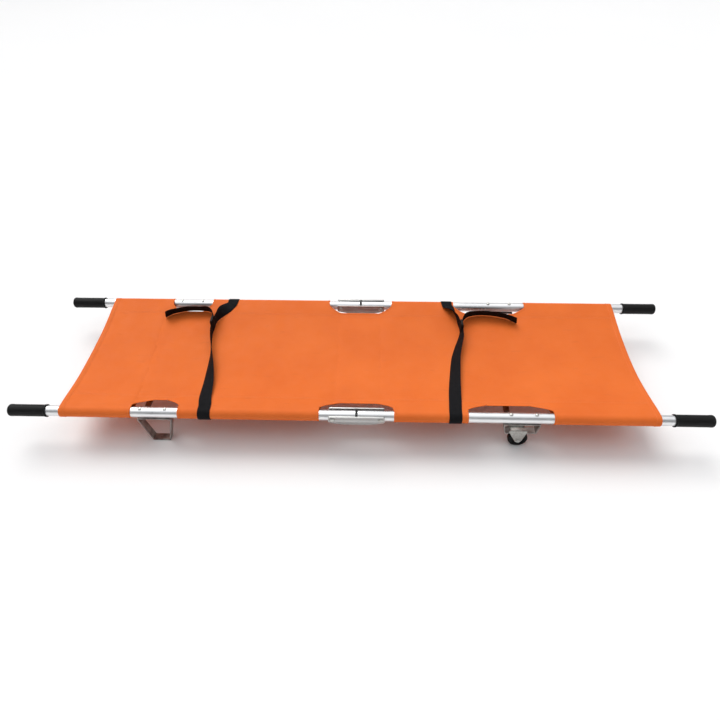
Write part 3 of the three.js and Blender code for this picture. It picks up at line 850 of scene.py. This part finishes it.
def rise(x, s):
    """The folds and slack of the cloth, above its smooth shape."""
    a = np.abs(s)
    free = np.clip((CREST - a) / 0.10, 0, 1)
    height = 0.0011 * free * ripple(x, s, 0.20, 0.13, 0.4)
    height = height + 0.0003 * (0.25 + 0.75 * free) * ripple(x, s, 0.045, 0.06, 2.2)
    t = s / 0.24
    crease = x - (-0.687 - 0.0125 * t + 0.0055 * t ** 2)
    over_bed = np.clip((CREST - a) / 0.03, 0, 1)
    shoulder = 0.0016 * np.exp(-np.abs(crease) / 0.02)
    groove = 0.0026 * np.exp(-np.abs(crease) / 0.006)
    height = height + over_bed * (shoulder - groove)
    for spot in (-FOLD_LINE, FOLD_LINE):
        height = height - 0.0006 * over_bed * np.exp(-((x - spot) / 0.012) ** 2)
    return height


def eased(q):
    """0 up to q = 0, 1 from q = 1 on, and a smooth rise between."""
    q = np.clip(q, 0, 1)
    return q * q * (3 - 2 * q)


def droop(x, s):
    """How far the cloth hangs below its smooth shape along the cut-outs' free edges."""
    a = np.abs(s)
    total = 0 * a
    for side, sign in SIDES.items():
        for name, (first, last) in CUT_SPANS[side].items():
            cut = CUTS[name]
            t = (2 * x - first - last) / (last - first)
            drop = cut["droop"] * eased((1.25 - np.abs(t)) / 0.75)
            on_top = eased((a - 0.12) / (BED_EDGE - 0.12))
            on_top = on_top * (1 - eased((a - cut["reach"]) / (SLEEVE_STARTS[1] - cut["reach"])))
            beneath = eased((a - SLEEVE_STARTS[2]) / UNDER_RUN)
            total = total + np.where(s * sign > 0, drop * (on_top + beneath), 0)
    return total


def smooth_section(x, s):
    """The cloth's middle surface without folds, as y and z; s runs across it from the centre line."""
    side = np.where(s < 0, -1.0, 1.0)
    a = np.abs(s)
    hang = sag(x)
    bed_z = CREST_HEIGHT - hang * (1 - (a / CREST) ** 2)
    edge_z = CREST_HEIGHT - hang * (1 - (BED_EDGE / CREST) ** 2)
    slope = 2 * hang * BED_EDGE / CREST ** 2

    # From the bed to the tube: a Hermite curve that leaves at the bed's slope and lands along the tube
    q = np.clip((a - SLEEVE_STARTS[0]) / TOP_RUN, 0, 1)
    start_in = POLE_Y - BED_EDGE
    land = (SLEEVE_RADIUS * math.cos(LAND_ANGLE), SLEEVE_RADIUS * math.sin(LAND_ANGLE))
    h00, h10 = 2 * q ** 3 - 3 * q ** 2 + 1, q ** 3 - 2 * q ** 2 + q
    h01, h11 = -2 * q ** 3 + 3 * q ** 2, q ** 3 - q ** 2
    top_in = h00 * start_in - h10 * TOP_RUN + h01 * land[0] - h11 * TOP_RUN * math.sin(LAND_ANGLE)
    top_z = h00 * edge_z + h10 * TOP_RUN * slope + h01 * land[1] + h11 * TOP_RUN * math.cos(LAND_ANGLE)

    # Round the tube, over its outer side
    q = np.clip((a - SLEEVE_STARTS[1]) / ROUND_RUN, 0, 1)
    angle = LAND_ANGLE + q * (LEAVE_ANGLE - LAND_ANGLE)
    round_in, round_z = SLEEVE_RADIUS * np.cos(angle), SLEEVE_RADIUS * np.sin(angle)

    # Straight back to the seam, under the top layer
    q = np.maximum((a - SLEEVE_STARTS[2]) / UNDER_RUN, 0)
    leave = (SLEEVE_RADIUS * math.cos(LEAVE_ANGLE), SLEEVE_RADIUS * math.sin(LEAVE_ANGLE))
    under_in = leave[0] + q * (start_in - leave[0])
    under_z = leave[1] + q * (edge_z - 1.1 * CLOTH - leave[1])

    in_bed, on_top, around = (a <= limit for limit in (BED_EDGE, SLEEVE_STARTS[1], SLEEVE_STARTS[2]))
    inboard = np.where(on_top, top_in, np.where(around, round_in, under_in))
    z = np.where(in_bed, bed_z, np.where(on_top, top_z, np.where(around, round_z, under_z)))
    y = np.where(in_bed, a, POLE_Y - inboard)
    return side * y, z - droop(x, s)


def cloth_normal(x, s, surface):
    """The unit normal of a surface given as a function of x and s, from points 0.4 mm away."""
    step = 0.0004
    x_step = surface(x + step, s) - surface(x - step, s)
    s_step = surface(x, s + step) - surface(x, s - step)
    normal = np.cross(x_step, s_step)
    return normal / np.linalg.norm(normal, axis=-1, keepdims=True)


def smooth_surface(x, s):
    y, z = smooth_section(x, s)
    return np.stack([x + 0 * y, y, z + POLE_Z], axis=-1)


def surface(x, s):
    """A point on the cloth's middle surface, with its folds."""
    x, s = np.broadcast_arrays(np.asarray(x, float), np.asarray(s, float))
    return smooth_surface(x, s) + cloth_normal(x, s, smooth_surface) * rise(x, s)[..., None]


def cloth_top(x, y):
    """Height of the cloth's upper face over the bed and up to the poles' crests."""
    s = np.sign(y) * np.minimum(np.abs(y), SLEEVE_STARTS[1])
    return float(surface(x, s)[..., 2]) + CLOTH / 2


def corner_reach(name, which, side, s, x):
    """How far a sleeve runs on into a cut-out at s across the cloth, past its end at the tube."""
    if name is None:
        return 0 * s
    inboard = POLE_Y - np.abs(smooth_section(x, s)[0])
    depth = POLE_Y - CUTS[name]["reach"]
    share = np.clip((inboard - TUBE_RADIUS) / (depth - TUBE_RADIUS), 0, 1)
    under_layer = np.abs(s) > SLEEVE_STARTS[2]
    run = CUTS[name][side][which] * np.where(under_layer, 0.12, 1)
    return run * (0.75 * share ** 1.3 + 0.25 * (1 - np.sqrt(1 - share ** 2)))


def free_edge(name, side, x):
    """How far across the cloth a cut-out's edge lies at each x, along the part that the bed carries."""
    s = np.linspace(CUTS[name]["reach"], SLEEVE_STARTS[1], 60)
    first, last = CUT_SPANS[side][name]
    sign = SIDES[side]
    from_first = first + corner_reach(name, 0, side, sign * s, first)
    from_last = last - corner_reach(name, 1, side, sign * s, last)
    at_first = np.interp(x, from_first[::-1], s[::-1])
    at_last = np.interp(x, from_last, s)
    return np.maximum(at_first, at_last)


class Sheet:
    """Gathers the vertices of one piece of cloth, its hems and its stitches, with exact normals."""

    def __init__(self):
        self.points, self.normals, self.flat = [], [], []
        self.faces, self.to_turn, self.material = [], [], []

    def add(self, points, normals, flat, faces, turn=False, material=0):
        """Adds faces; a normal of zero is worked out from the faces, which are turned if asked."""
        start = sum(len(p) for p in self.points)
        self.points.append(np.asarray(points, float).reshape(-1, 3))
        self.normals.append(np.asarray(normals, float).reshape(-1, 3))
        self.flat.append(np.asarray(flat, float).reshape(-1, 2))
        for face in faces:
            self.faces.append([start + int(i) for i in face])
            self.to_turn.append(turn)
            self.material.append(material)

    def grid(self, x, s, thickness=CLOTH, low=None):
        """A sheet over a grid of x and s, thickness deep; low may lower its underside further."""
        rows, columns = x.shape
        middle, normal = surface(x, s), cloth_normal(x, s, surface)
        drop = thickness / 2 + (0 if low is None else low)
        top = middle + normal * (thickness / 2)
        under = middle - normal * np.broadcast_to(drop, x.shape)[..., None]
        flat = np.stack([x, s], axis=-1)
        index = np.arange(rows * columns).reshape(rows, columns)
        a, b, c, d = (index[:-1, :-1], index[:-1, 1:], index[1:, 1:], index[1:, :-1])
        quads = np.stack([a, b, c, d], axis=-1).reshape(-1, 4)
        self.add(top, normal, flat, quads)
        self.add(under, -normal, flat, quads[:, ::-1])
        ring = np.concatenate([index[0, :], index[1:, -1], index[-1, -2::-1], index[-2:0:-1, 0]])
        around = len(ring)
        both = np.concatenate([top.reshape(-1, 3)[ring], under.reshape(-1, 3)[ring]])
        faces = [[k, k + around, (k + 1) % around + around, (k + 1) % around] for k in range(around)]
        self.add(both, np.zeros_like(both), np.tile(flat.reshape(-1, 2)[ring], (2, 1)), faces)

    def band(self, x, s, inward, width, swell=HEM_SWELL):
        """A turned hem of that width round an edge: it wraps the edge and lies on both faces."""
        section = [
            (-0.0005, 0.0), (0.0, 0.75), (0.0012, 1.0), (width - 0.0012, 1.0), (width, 0.0),
            (width - 0.0012, -1.0), (0.0012, -1.0), (0.0, -0.75),
        ]
        count, around = len(x), len(section)
        points = np.zeros((count, around, 3))
        flats = np.zeros((count, around, 2))
        for k, (offset, level) in enumerate(section):
            px, ps = x + inward[0] * offset, s + inward[1] * offset
            normal = cloth_normal(px, ps, surface)
            points[:, k] = surface(px, ps) + normal * (level * (CLOTH / 2 + swell))
            flats[:, k] = np.stack([px, ps], axis=-1)
        faces = ring_faces(count, around) + end_faces(count, around)
        self.add(points, np.zeros_like(points), flats, faces, turn=True)

    def stitches(self, x, s, lift, pitch=0.0042, both_faces=True):
        """Threads laid along a line on the cloth, on one face or both."""
        line = surface(x, s)
        steps = np.linalg.norm(np.diff(line, axis=0), axis=1)
        travelled = np.concatenate([[0], np.cumsum(steps)])
        count = int(travelled[-1] / pitch)
        if count < 1:
            return
        at = (np.arange(count) + 0.5) * pitch
        px, ps = np.interp(at, travelled, x), np.interp(at, travelled, s)
        here = surface(px, ps)
        ahead = surface(np.interp(at + 0.001, travelled, x), np.interp(at + 0.001, travelled, s)) - here
        ahead = ahead / np.linalg.norm(ahead, axis=1, keepdims=True)
        normal = cloth_normal(px, ps, surface)
        radius, length, corners = 0.00032, pitch * 0.74, 6
        along, swell = np.array([(-0.5, 0.35), (-0.36, 1.0), (0.36, 1.0), (0.5, 0.35)]).T
        angles = 2 * math.pi * np.arange(corners) / corners
        one_stitch = ring_faces(4, corners) + end_faces(4, corners)
        starts = range(0, 4 * corners * count, 4 * corners)
        faces = [[start + i for i in face] for start in starts for face in one_stitch]
        flat = np.repeat(np.stack([px, ps], axis=-1), 4 * corners, axis=0)
        for side in ((1, -1) if both_faces else (1,)):
            up = normal * side
            across = np.cross(ahead, up)
            spread = (across[:, None] * np.cos(angles)[:, None] + up[:, None] * np.sin(angles)[:, None])
            middles = here + up * lift
            points = middles[:, None, None] + ahead[:, None, None] * (along * length)[:, None, None]
            points = points + spread[:, None] * (radius * swell)[:, None, None]
            self.add(points, np.zeros((count * 4 * corners, 3)), flat, faces, turn=True, material=1)

    def build(self, name, body, replaces, materials):
        """The finished piece, with its own normals and each vertex's place on the flat cloth."""
        points, normals = np.concatenate(self.points), np.concatenate(self.normals)
        mesh = bpy.data.meshes.new(name)
        mesh.from_pydata(points.tolist(), [], self.faces)
        flat = np.concatenate(self.flat)
        place = mesh.attributes.new("flat_place", "FLOAT_VECTOR", "POINT")
        place.data.foreach_set("vector", np.c_[flat, np.zeros(len(flat))].ravel().astype(np.float32))
        mesh.polygons.foreach_set("material_index", self.material)
        shade(mesh, 60, turn=self.to_turn)
        corner_vertices = np.zeros(len(mesh.loops), int)
        mesh.loops.foreach_get("vertex_index", corner_vertices)
        mesh.normals_split_custom_set(normals[corner_vertices].tolist())
        return finish_piece(name, mesh, body, replaces, materials)


def spaced(low, high, step):
    return np.linspace(low, high, max(2, int(round((high - low) / step)) + 1))


CLOTH_MATERIALS = [MATERIALS["bed_cloth"], THREAD]


def make_sleeves():
    """The parts of the cloth round each half pole, cut back at the fold line and hemmed at the ends."""
    rows = np.concatenate([
        np.linspace(SLEEVE_STARTS[0], SLEEVE_STARTS[1], 14)[:-1],
        np.linspace(SLEEVE_STARTS[1], SLEEVE_STARTS[2], 34)[:-1],
        np.linspace(SLEEVE_STARTS[2], SLEEVE_END, 12),
    ])
    for side, sign in SIDES.items():
        for name, (before, after) in SLEEVES.items():
            node = f"sleeve_{name}_{side}"
            low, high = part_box(node)
            s = sign * rows
            start = low.x - corner_reach(before, 1, side, s, low.x)
            end = high.x + corner_reach(after, 0, side, s, high.x)
            if name.endswith("inner"):
                start = np.maximum(start, PANEL_LINE) if start.max() > 0 else start
                end = np.minimum(end, -PANEL_LINE) if end.max() < 0 else end
            columns = np.linspace(0, 1, int((high.x - low.x) / 0.006))
            x = start[:, None] + (end - start)[:, None] * columns[None, :]
            grid_s = np.repeat(s[:, None], len(columns), axis=1)
            if sign < 0:
                x, grid_s = x[::-1], grid_s[::-1]
            sheet = Sheet()
            sheet.grid(x, grid_s)
            for cut_end, edge, inward in ((before, start, 1), (after, end, -1)):
                width = CUT_HEM if cut_end else HEM
                hemmed = np.abs(edge) > FOLD_LINE + 0.0005  # where the end isn't cut at the fold line
                direction = edge_inward(edge, s, inward)
                sheet.band(edge[hemmed], s[hemmed], [d[hemmed] for d in direction], width)
                inset = width - STITCH_INSET
                upper = rows < SLEEVE_STARTS[2]
                px, ps = edge + direction[0] * inset, s + direction[1] * inset
                inside = hemmed & upper & (np.abs(ps) >= BED_EDGE)
                sheet.stitches(px[inside], ps[inside], HEM_STITCH_LIFT, both_faces=False)
            body = body_of(node)
            piece = sheet.build(f"{node}_cloth", body, [node], CLOTH_MATERIALS)
            f"{name.split('_')[0]}_pole_{side}"


def edge_inward(x, s, direction):
    """Unit vectors in the flat cloth, square to an edge and pointing into the piece."""
    dx, ds = np.gradient(x), np.gradient(s)
    length = np.hypot(dx, ds)
    nx, ns = ds / length, -dx / length
    flip = np.where(nx * direction < 0, -1, 1)
    return nx * flip, ns * flip


def make_bed():
    """The three panels between the sleeves, with their seams and the cut-outs' middle edges."""
    pieces = {
        "bed_foot": (-CLOTH_END, -PANEL_LINE),
        "bed_middle": (-PANEL_LINE, PANEL_LINE),
        "bed_wheel": (PANEL_LINE, CLOTH_END),
    }
    rows = np.concatenate([
        np.linspace(0, SEAM - 0.002, 40)[:-1],
        [SEAM - 0.002, SEAM - 0.0012, SEAM, BED_EDGE - 0.006, BED_EDGE],
    ])
    rows = np.concatenate([-rows[:0:-1], rows])
    doubled = np.where(np.abs(rows) >= SEAM - 0.0016, CLOTH * 1.05, 0.0)
    for node, (low, high) in pieces.items():
        sheet = Sheet()
        columns = spaced(low, high, 0.006)
        x, s = np.meshgrid(columns, rows)
        sheet.grid(x, s, low=np.repeat(doubled[:, None], len(columns), axis=1))
        for side, sign in SIDES.items():
            for name, cut in CUTS.items():
                first, last = CUT_SPANS[side][name]
                if name != "hinge":
                    first, last = first + cut[side][0], last - cut[side][1]
                first, last = max(first, low), min(last, high)
                if last - first < 0.002:
                    continue
                tongue = spaced(first, last, 0.004)
                edge = sign * free_edge(name, side, tongue)
                share = np.linspace(0, 1, 4)[:, None]
                ts = sign * BED_EDGE + (edge - sign * BED_EDGE) * share
                tx = np.broadcast_to(tongue, ts.shape)
                if sign < 0:
                    tx, ts = tx[::-1], ts[::-1]
                sheet.grid(tx, ts)
                inward = (0 * tongue, np.full_like(tongue, -sign))
                sheet.band(tongue, edge, inward, CUT_HEM)
                sheet.stitches(tongue, edge - sign * (CUT_HEM - STITCH_INSET), HEM_STITCH_LIFT)
            line = spaced(low, high, 0.01)
            for row in SEAM_ROWS:
                sheet.stitches(line, np.full_like(line, sign * row), CLOTH / 2 + 0.0001)
        for direction in ENDS.values():
            edge_x = direction * CLOTH_END
            if low <= edge_x <= high:
                across = spaced(-BED_EDGE, BED_EDGE, 0.008)
                edge = np.full_like(across, edge_x)
                sheet.band(edge, across, (np.full_like(across, -direction), 0 * across), HEM)
                sheet.stitches(edge - direction * (HEM - STITCH_INSET), across, HEM_STITCH_LIFT)
        piece = sheet.build(f"{node}_cloth", body_of(node), [node], CLOTH_MATERIALS)
        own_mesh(piece)


# ---------------------------------------------------------------- straps
WEBBING_WIDTH, WEBBING_THICKNESS = 0.038, 0.0017
WEBBING_LIFT = 0.0014  # from the cloth's upper face to the webbing's middle
BUCKLE_NEAR, BUCKLE_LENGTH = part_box("foot_strap_buckle")[0].y, size("foot_strap_buckle").y
BUCKLE_THICKNESS = 0.0070
MIDDLE_BAR = BUCKLE_NEAR + 0.0160
NEAR_BAR = BUCKLE_NEAR + 0.0026
STITCHED_END = BUCKLE_NEAR - 0.004  # where the right half's webbing meets its loop round the buckle
RIGHT_END_FOLD, TAIL_END_FOLD = 0.030, 0.026  # lengths turned over on themselves at the halves' ends
UP = Vector((0, 0, 1))

# Points are (x, y, tilt) in millimetres and degrees: tilt 0 lies flat, 90 stands on its edge
STRAPS = {
    "foot": {
        "wrap_x": {"right": -455, "left": -461},
        "right": [
            (-456, -240, 0), (-464, -200, 5), (-471, -126, 25), (-483, -45, 55), (-494, 16, 80),
            (-503, 60, 90), (-507.5, 88, 90), (-508.8, 108, 90),
        ],
        "left": [
            (-463, 240, 0), (-476, 216, 25), (-490, 189, 60), (-500, 165, 86), (-504.6, 150, 90),
            (-505.6, 140, 90), (-505.8, 130, 90),
        ],
        "tail": [
            (-512.2, 130, 90), (-512.6, 142, 90), (-514, 154, 90), (-520, 178, 95), (-539, 197, 108),
            (-566, 204.5, 115), (-602, 205, 115), (-636, 199, 115), (-661, 187, 115), (-684, 167, 110),
        ],
    },
    "wheel": {
        "wrap_x": {"right": 293, "left": 307},
        "right": [
            (294, -240, 0), (298, -198, 5), (303, -140, 20), (311, -70, 32), (320, 0, 42),
            (333, 52, 50), (342, 82, 58), (346.6, 108, 76),
        ],
        "left": [
            (309, 240, 0), (318, 222, 25), (329, 198, 60), (338, 170, 86), (342.6, 152, 90),
            (344.6, 140, 90), (344.8, 130, 90),
        ],
        "tail": [
            (351.2, 130, 90), (351.6, 142, 90), (353, 154, 90), (364, 179, 85), (384, 194, 72),
            (420, 199.5, 65), (454, 198, 65), (488, 192.5, 65), (514, 184, 65), (543, 166, 70),
        ],
    },
}


def through(points, per_span=10):
    """A smooth curve through points, as a list of arrays."""
    p = [np.array(q, float) for q in points]
    p = [2 * p[0] - p[1], *p, 2 * p[-1] - p[-2]]
    curve = []
    for i in range(1, len(p) - 2):
        for k in range(per_span):
            t = k / per_span
            curve.append(0.5 * (
                2 * p[i] + (p[i + 1] - p[i - 1]) * t
                + (2 * p[i - 1] - 5 * p[i] + 4 * p[i + 1] - p[i + 2]) * t ** 2
                + (3 * p[i] - p[i - 1] - 3 * p[i + 1] + p[i + 2]) * t ** 3
            ))
    curve.append(p[-2])
    return curve


def resting(points):
    """Stations of a webbing that rests on the cloth: (centre, direction of its width)."""
    route = through(points)
    stations = []
    for i, (x, y, tilt) in enumerate(route):
        before, after = route[max(i - 1, 0)], route[min(i + 1, len(route) - 1)]
        along = Vector((after[0] - before[0], after[1] - before[1], 0)).normalized()
        level = along.cross(UP)
        angle = math.radians(tilt)
        across = level * math.cos(angle) + UP * math.sin(angle)
        x, y = x / 1000, y / 1000
        half = WEBBING_WIDTH / 2
        reach = level * (half * abs(math.cos(angle)))
        support = max(cloth_top(x + reach.x * k, y + reach.y * k) - k * math.copysign(1, math.cos(angle))
                      * half * math.sin(angle) for k in (-1, -0.5, 0, 0.5, 1))
        stations.append((Vector((x, y, support + WEBBING_LIFT)), across))
    return stations


def wrapped(x, sign):
    """Stations from the underside of the sleeve, round the outside of the pole, to its top."""
    radius = SLEEVE_RADIUS + CLOTH / 2 + WEBBING_LIFT
    stations = []
    start, sweep, steps = -56, -224, 24
    for k in range(steps + 1):
        angle = math.radians(start + sweep * k / steps)
        y = sign * (POLE_Y - radius * math.cos(angle))
        stations.append((Vector((x, y, POLE_Z + radius * math.sin(angle))), Vector((-sign, 0, 0))))
    return stations


def turn_back(start, end, bulge, across, steps=8):
    """Stations of a half turn round a bar, from start to end, bulging along a direction."""
    middle, arm = (start + end) / 2, (start - end) / 2
    return [
        (middle + arm * math.cos(math.pi * k / steps) + bulge * math.sin(math.pi * k / steps), across)
        for k in range(1, steps)
    ]


def ribbon(stations, end_fold=0.0, layers=1):
    """Webbing through its stations: vertices, faces and each vertex's place along and across it.

    end_fold is the length at the far end where it is turned over on itself in so many layers.
    """
    remaining = [0.0]
    for (middle, _), (before, _) in zip(stations[:0:-1], stations[-2::-1]):
        remaining.insert(0, remaining[0] + (middle - before).length)
    across_steps = 12
    outline = []
    for k in range(across_steps + 1):
        u = 2 * k / across_steps - 1
        outline.append((u, (1 - abs(u) ** 12) ** 0.5 if abs(u) < 1 else 0))
    section = outline + [(u, -v) for u, v in reversed(outline[1:-1])]
    vertices, flat, travelled = [], [], 0
    for i, (middle, across) in enumerate(stations):
        before, after = stations[max(i - 1, 0)][0], stations[min(i + 1, len(stations) - 1)][0]
        along = (after - before).normalized()
        normal = across.cross(along).normalized()
        if i:
            travelled += (middle - stations[i - 1][0]).length
        thickness = WEBBING_THICKNESS * (layers if remaining[i] < end_fold else 1)
        for u, v in section:
            vertices.append(middle + across * (u * WEBBING_WIDTH / 2) + normal * (v * thickness / 2))
            flat.append((travelled, u * WEBBING_WIDTH / 2, 0))
    faces = ring_faces(len(stations), len(section)) + end_faces(len(stations), len(section))
    return vertices, faces, flat, travelled


def webbing_piece(name, stations, body, replaces, end_fold=0.0, layers=1):
    """A ribbon as a finished piece, with its length."""
    vertices, faces, flat, length = ribbon(stations, end_fold, layers)
    mesh = bpy.data.meshes.new(name)
    mesh.from_pydata([tuple(v) for v in vertices], [], faces)
    place = mesh.attributes.new("flat_place", "FLOAT_VECTOR", "POINT")
    place.data.foreach_set("vector", np.array(flat, np.float32).ravel())
    shade(mesh, 50)
    piece = finish_piece(name, mesh, body, replaces, [MATERIALS["webbing"]])
    return piece, length


def buckle_shape(x, low_z, high_z):
    """A ladder buckle standing on its edge: two rails joined by three bars, drawn in Y and Z."""
    rail = 0.0024
    outline = rectangle(BUCKLE_NEAR, BUCKLE_NEAR + BUCKLE_LENGTH, low_z, high_z)
    outline = rounded_outline(outline, 0.005)
    slots = []
    for start, end in ((0.0052, 0.0132), (0.0188, 0.0288)):
        opening = rectangle(BUCKLE_NEAR + start, BUCKLE_NEAR + end, low_z + rail, high_z - rail)
        slots.append(rounded_outline(opening, 0.0012, 4))
    body = plate(outline, slots, BUCKLE_THICKNESS, 0.0009)
    to_yz = Matrix(((0, 0, 1, x - BUCKLE_THICKNESS / 2), (1, 0, 0, 0), (0, 1, 0, 0), (0, 0, 0, 1)))
    return moved(body, to_yz)


def make_right_half(end, strap):
    """The wrap round the right sleeve and the run to the buckle; gives the run's last station."""
    node = f"{end}_strap_right"
    body = body_of(node)
    run = resting(strap["right"])
    around = wrapped(strap["wrap_x"]["right"] / 1000, SIDES["right"])
    wrap, _ = webbing_piece(f"{node}_wrap", around + run[:2], body, [node])
    piece, length = webbing_piece(f"{node}_run", run, body, [node], RIGHT_END_FOLD, 2)
    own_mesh(piece)
    return run[-1]


def make_left_half(end, strap):
    """The wrap round the left sleeve, the run, the turn round the buckle's bar and the loose tail."""
    node = f"{end}_strap_left"
    run = resting(strap["left"])
    tail = resting(strap["tail"])
    bulge = Vector((0, MIDDLE_BAR - 0.0044 - run[-1][0].y, 0))
    stations = wrapped(strap["wrap_x"]["left"] / 1000, SIDES["left"]) + run
    stations += turn_back(run[-1][0], tail[0][0], bulge, UP) + tail
    name = f"{node}_webbing"
    piece, length = webbing_piece(name, stations, body_of(node), [node], TAIL_END_FOLD, 3)


def make_buckle(end, run_end, run_lean):
    """The buckle, standing on the bed, and the right half's loop round its near bar."""
    buckle = f"{end}_strap_buckle"
    low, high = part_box(buckle)
    x = centre(buckle).x
    bottom = cloth_top(x, high.y) + GAP
    shape = buckle_shape(x, bottom, bottom + (high.z - low.z))
    solid_piece(f"{buckle}_ladder", shape, "buckle_plastic", [buckle], sharp=40)
    z = bottom + (high.z - low.z) / 2
    reach = BUCKLE_THICKNESS / 2 + WEBBING_THICKNESS / 2 + 0.0002
    start = Vector((run_end.x, STITCHED_END, run_end.z))
    leaning = (run_lean + UP).normalized()
    front, back = Vector((x + reach, NEAR_BAR, z)), Vector((x - reach, NEAR_BAR, z))
    second_layer = start + Vector((-0.0019, 0, 0))
    loop = [(start, run_lean), (start.lerp(front, 0.5), leaning), (front, UP)]
    loop += turn_back(front, back, Vector((0, 0.0042, 0)), UP)
    loop += [(back, UP), (back.lerp(second_layer, 0.6), leaning), (second_layer, run_lean)]
    piece, length = webbing_piece(f"{end}_strap_loop", loop, body_of(buckle), [])


def make_straps():
    """Both straps, each of a right half, a left half and a buckle."""
    for end, strap in STRAPS.items():
        run_end, run_lean = make_right_half(end, strap)
        make_left_half(end, strap)
        make_buckle(end, run_end, run_lean)


# ---------------------------------------------------------------- floor and light
def make_floor(material):
    """A round pale floor that curves up into a grey wall, so no view shows an edge."""
    flat_radius, bend, wall_top, turns = 13.0, 3.0, 8.0, 96
    profile = [(flat_radius, 0.0)]
    for k in range(1, 17):
        angle = math.pi / 2 * k / 16
        profile.append((flat_radius + bend * math.sin(angle), bend * (1 - math.cos(angle))))
    profile.append((flat_radius + bend, wall_top))
    angles = [2 * math.pi * k / turns for k in range(turns)]
    vertices = [(r * math.cos(a), r * math.sin(a), z) for r, z in profile for a in angles]
    faces = [list(range(turns))] + ring_faces(len(profile), turns)
    mesh = bpy.data.meshes.new("floor")
    mesh.from_pydata(vertices, [], faces)
    mesh.polygons.foreach_set("use_smooth", [False] + [True] * (len(faces) - 1))
    mesh.materials.append(material)
    floor = bpy.data.objects.new("floor", mesh)
    bpy.context.scene.collection.objects.link(floor)


def make_stage():
    """The floor, a wide soft box overhead in a dim room, and a soft sun from behind, to the left."""
    floor_material = Material("floor", (0.93, 0.93, 0.93), 0.85)
    tone = floor_material.noise(floor_material.own_place(), 0.7, 2)
    pale = floor_material.mix(tone, (0.92, 0.92, 0.92), (0.95, 0.95, 0.95))
    height = floor_material.split(floor_material.own_place())[2]
    up_the_wall = floor_material.remap(height, 0, 2.5, 0, 1)
    floor_material.color(floor_material.mix(up_the_wall, pale, (0.36, 0.36, 0.37)))
    make_floor(floor_material.material)
    world = bpy.data.worlds.new("studio")
    bpy.context.scene.world = world
    world.use_nodes = True
    tree = world.node_tree
    background = tree.nodes["Background"]
    background.inputs["Color"].default_value = (0.97, 0.98, 1, 1)
    # The soft box: bright where a direction lies near its middle, overhead and a little behind
    direction = tree.nodes.new("ShaderNodeTexCoord").outputs["Generated"]
    facing = tree.nodes.new("ShaderNodeVectorMath")
    facing.operation = "DOT_PRODUCT"
    tree.links.new(direction, facing.inputs[0])
    facing.inputs[1].default_value = Vector((-0.15, 0.35, 0.92)).normalized()
    glow = tree.nodes.new("ShaderNodeMapRange")
    glow.interpolation_type = "SMOOTHSTEP"
    tree.links.new(facing.outputs["Value"], glow.inputs["Value"])
    for socket, value in (("From Min", 0.45), ("From Max", 0.75), ("To Min", 0.28), ("To Max", 1.08)):
        glow.inputs[socket].default_value = value
    tree.links.new(glow.outputs["Result"], background.inputs["Strength"])
    sun = bpy.data.lights.new("key", "SUN")
    sun.energy = 1.55
    sun.angle = math.radians(38)
    sun.color = (1, 0.985, 0.96)
    key = bpy.data.objects.new("key", sun)
    bpy.context.scene.collection.objects.link(key)
    key.rotation_mode = "QUATERNION"
    key.rotation_quaternion = Vector((0.42, -0.72, -1.15)).to_track_quat("-Z", "Y")
    bpy.context.scene.view_settings.view_transform = "Standard"


make_poles()
make_fasteners()
make_hinge_channels()
make_bar_loops()
make_castors()
make_spreaders()
make_sleeves()
make_bed()
make_straps()
make_stage()
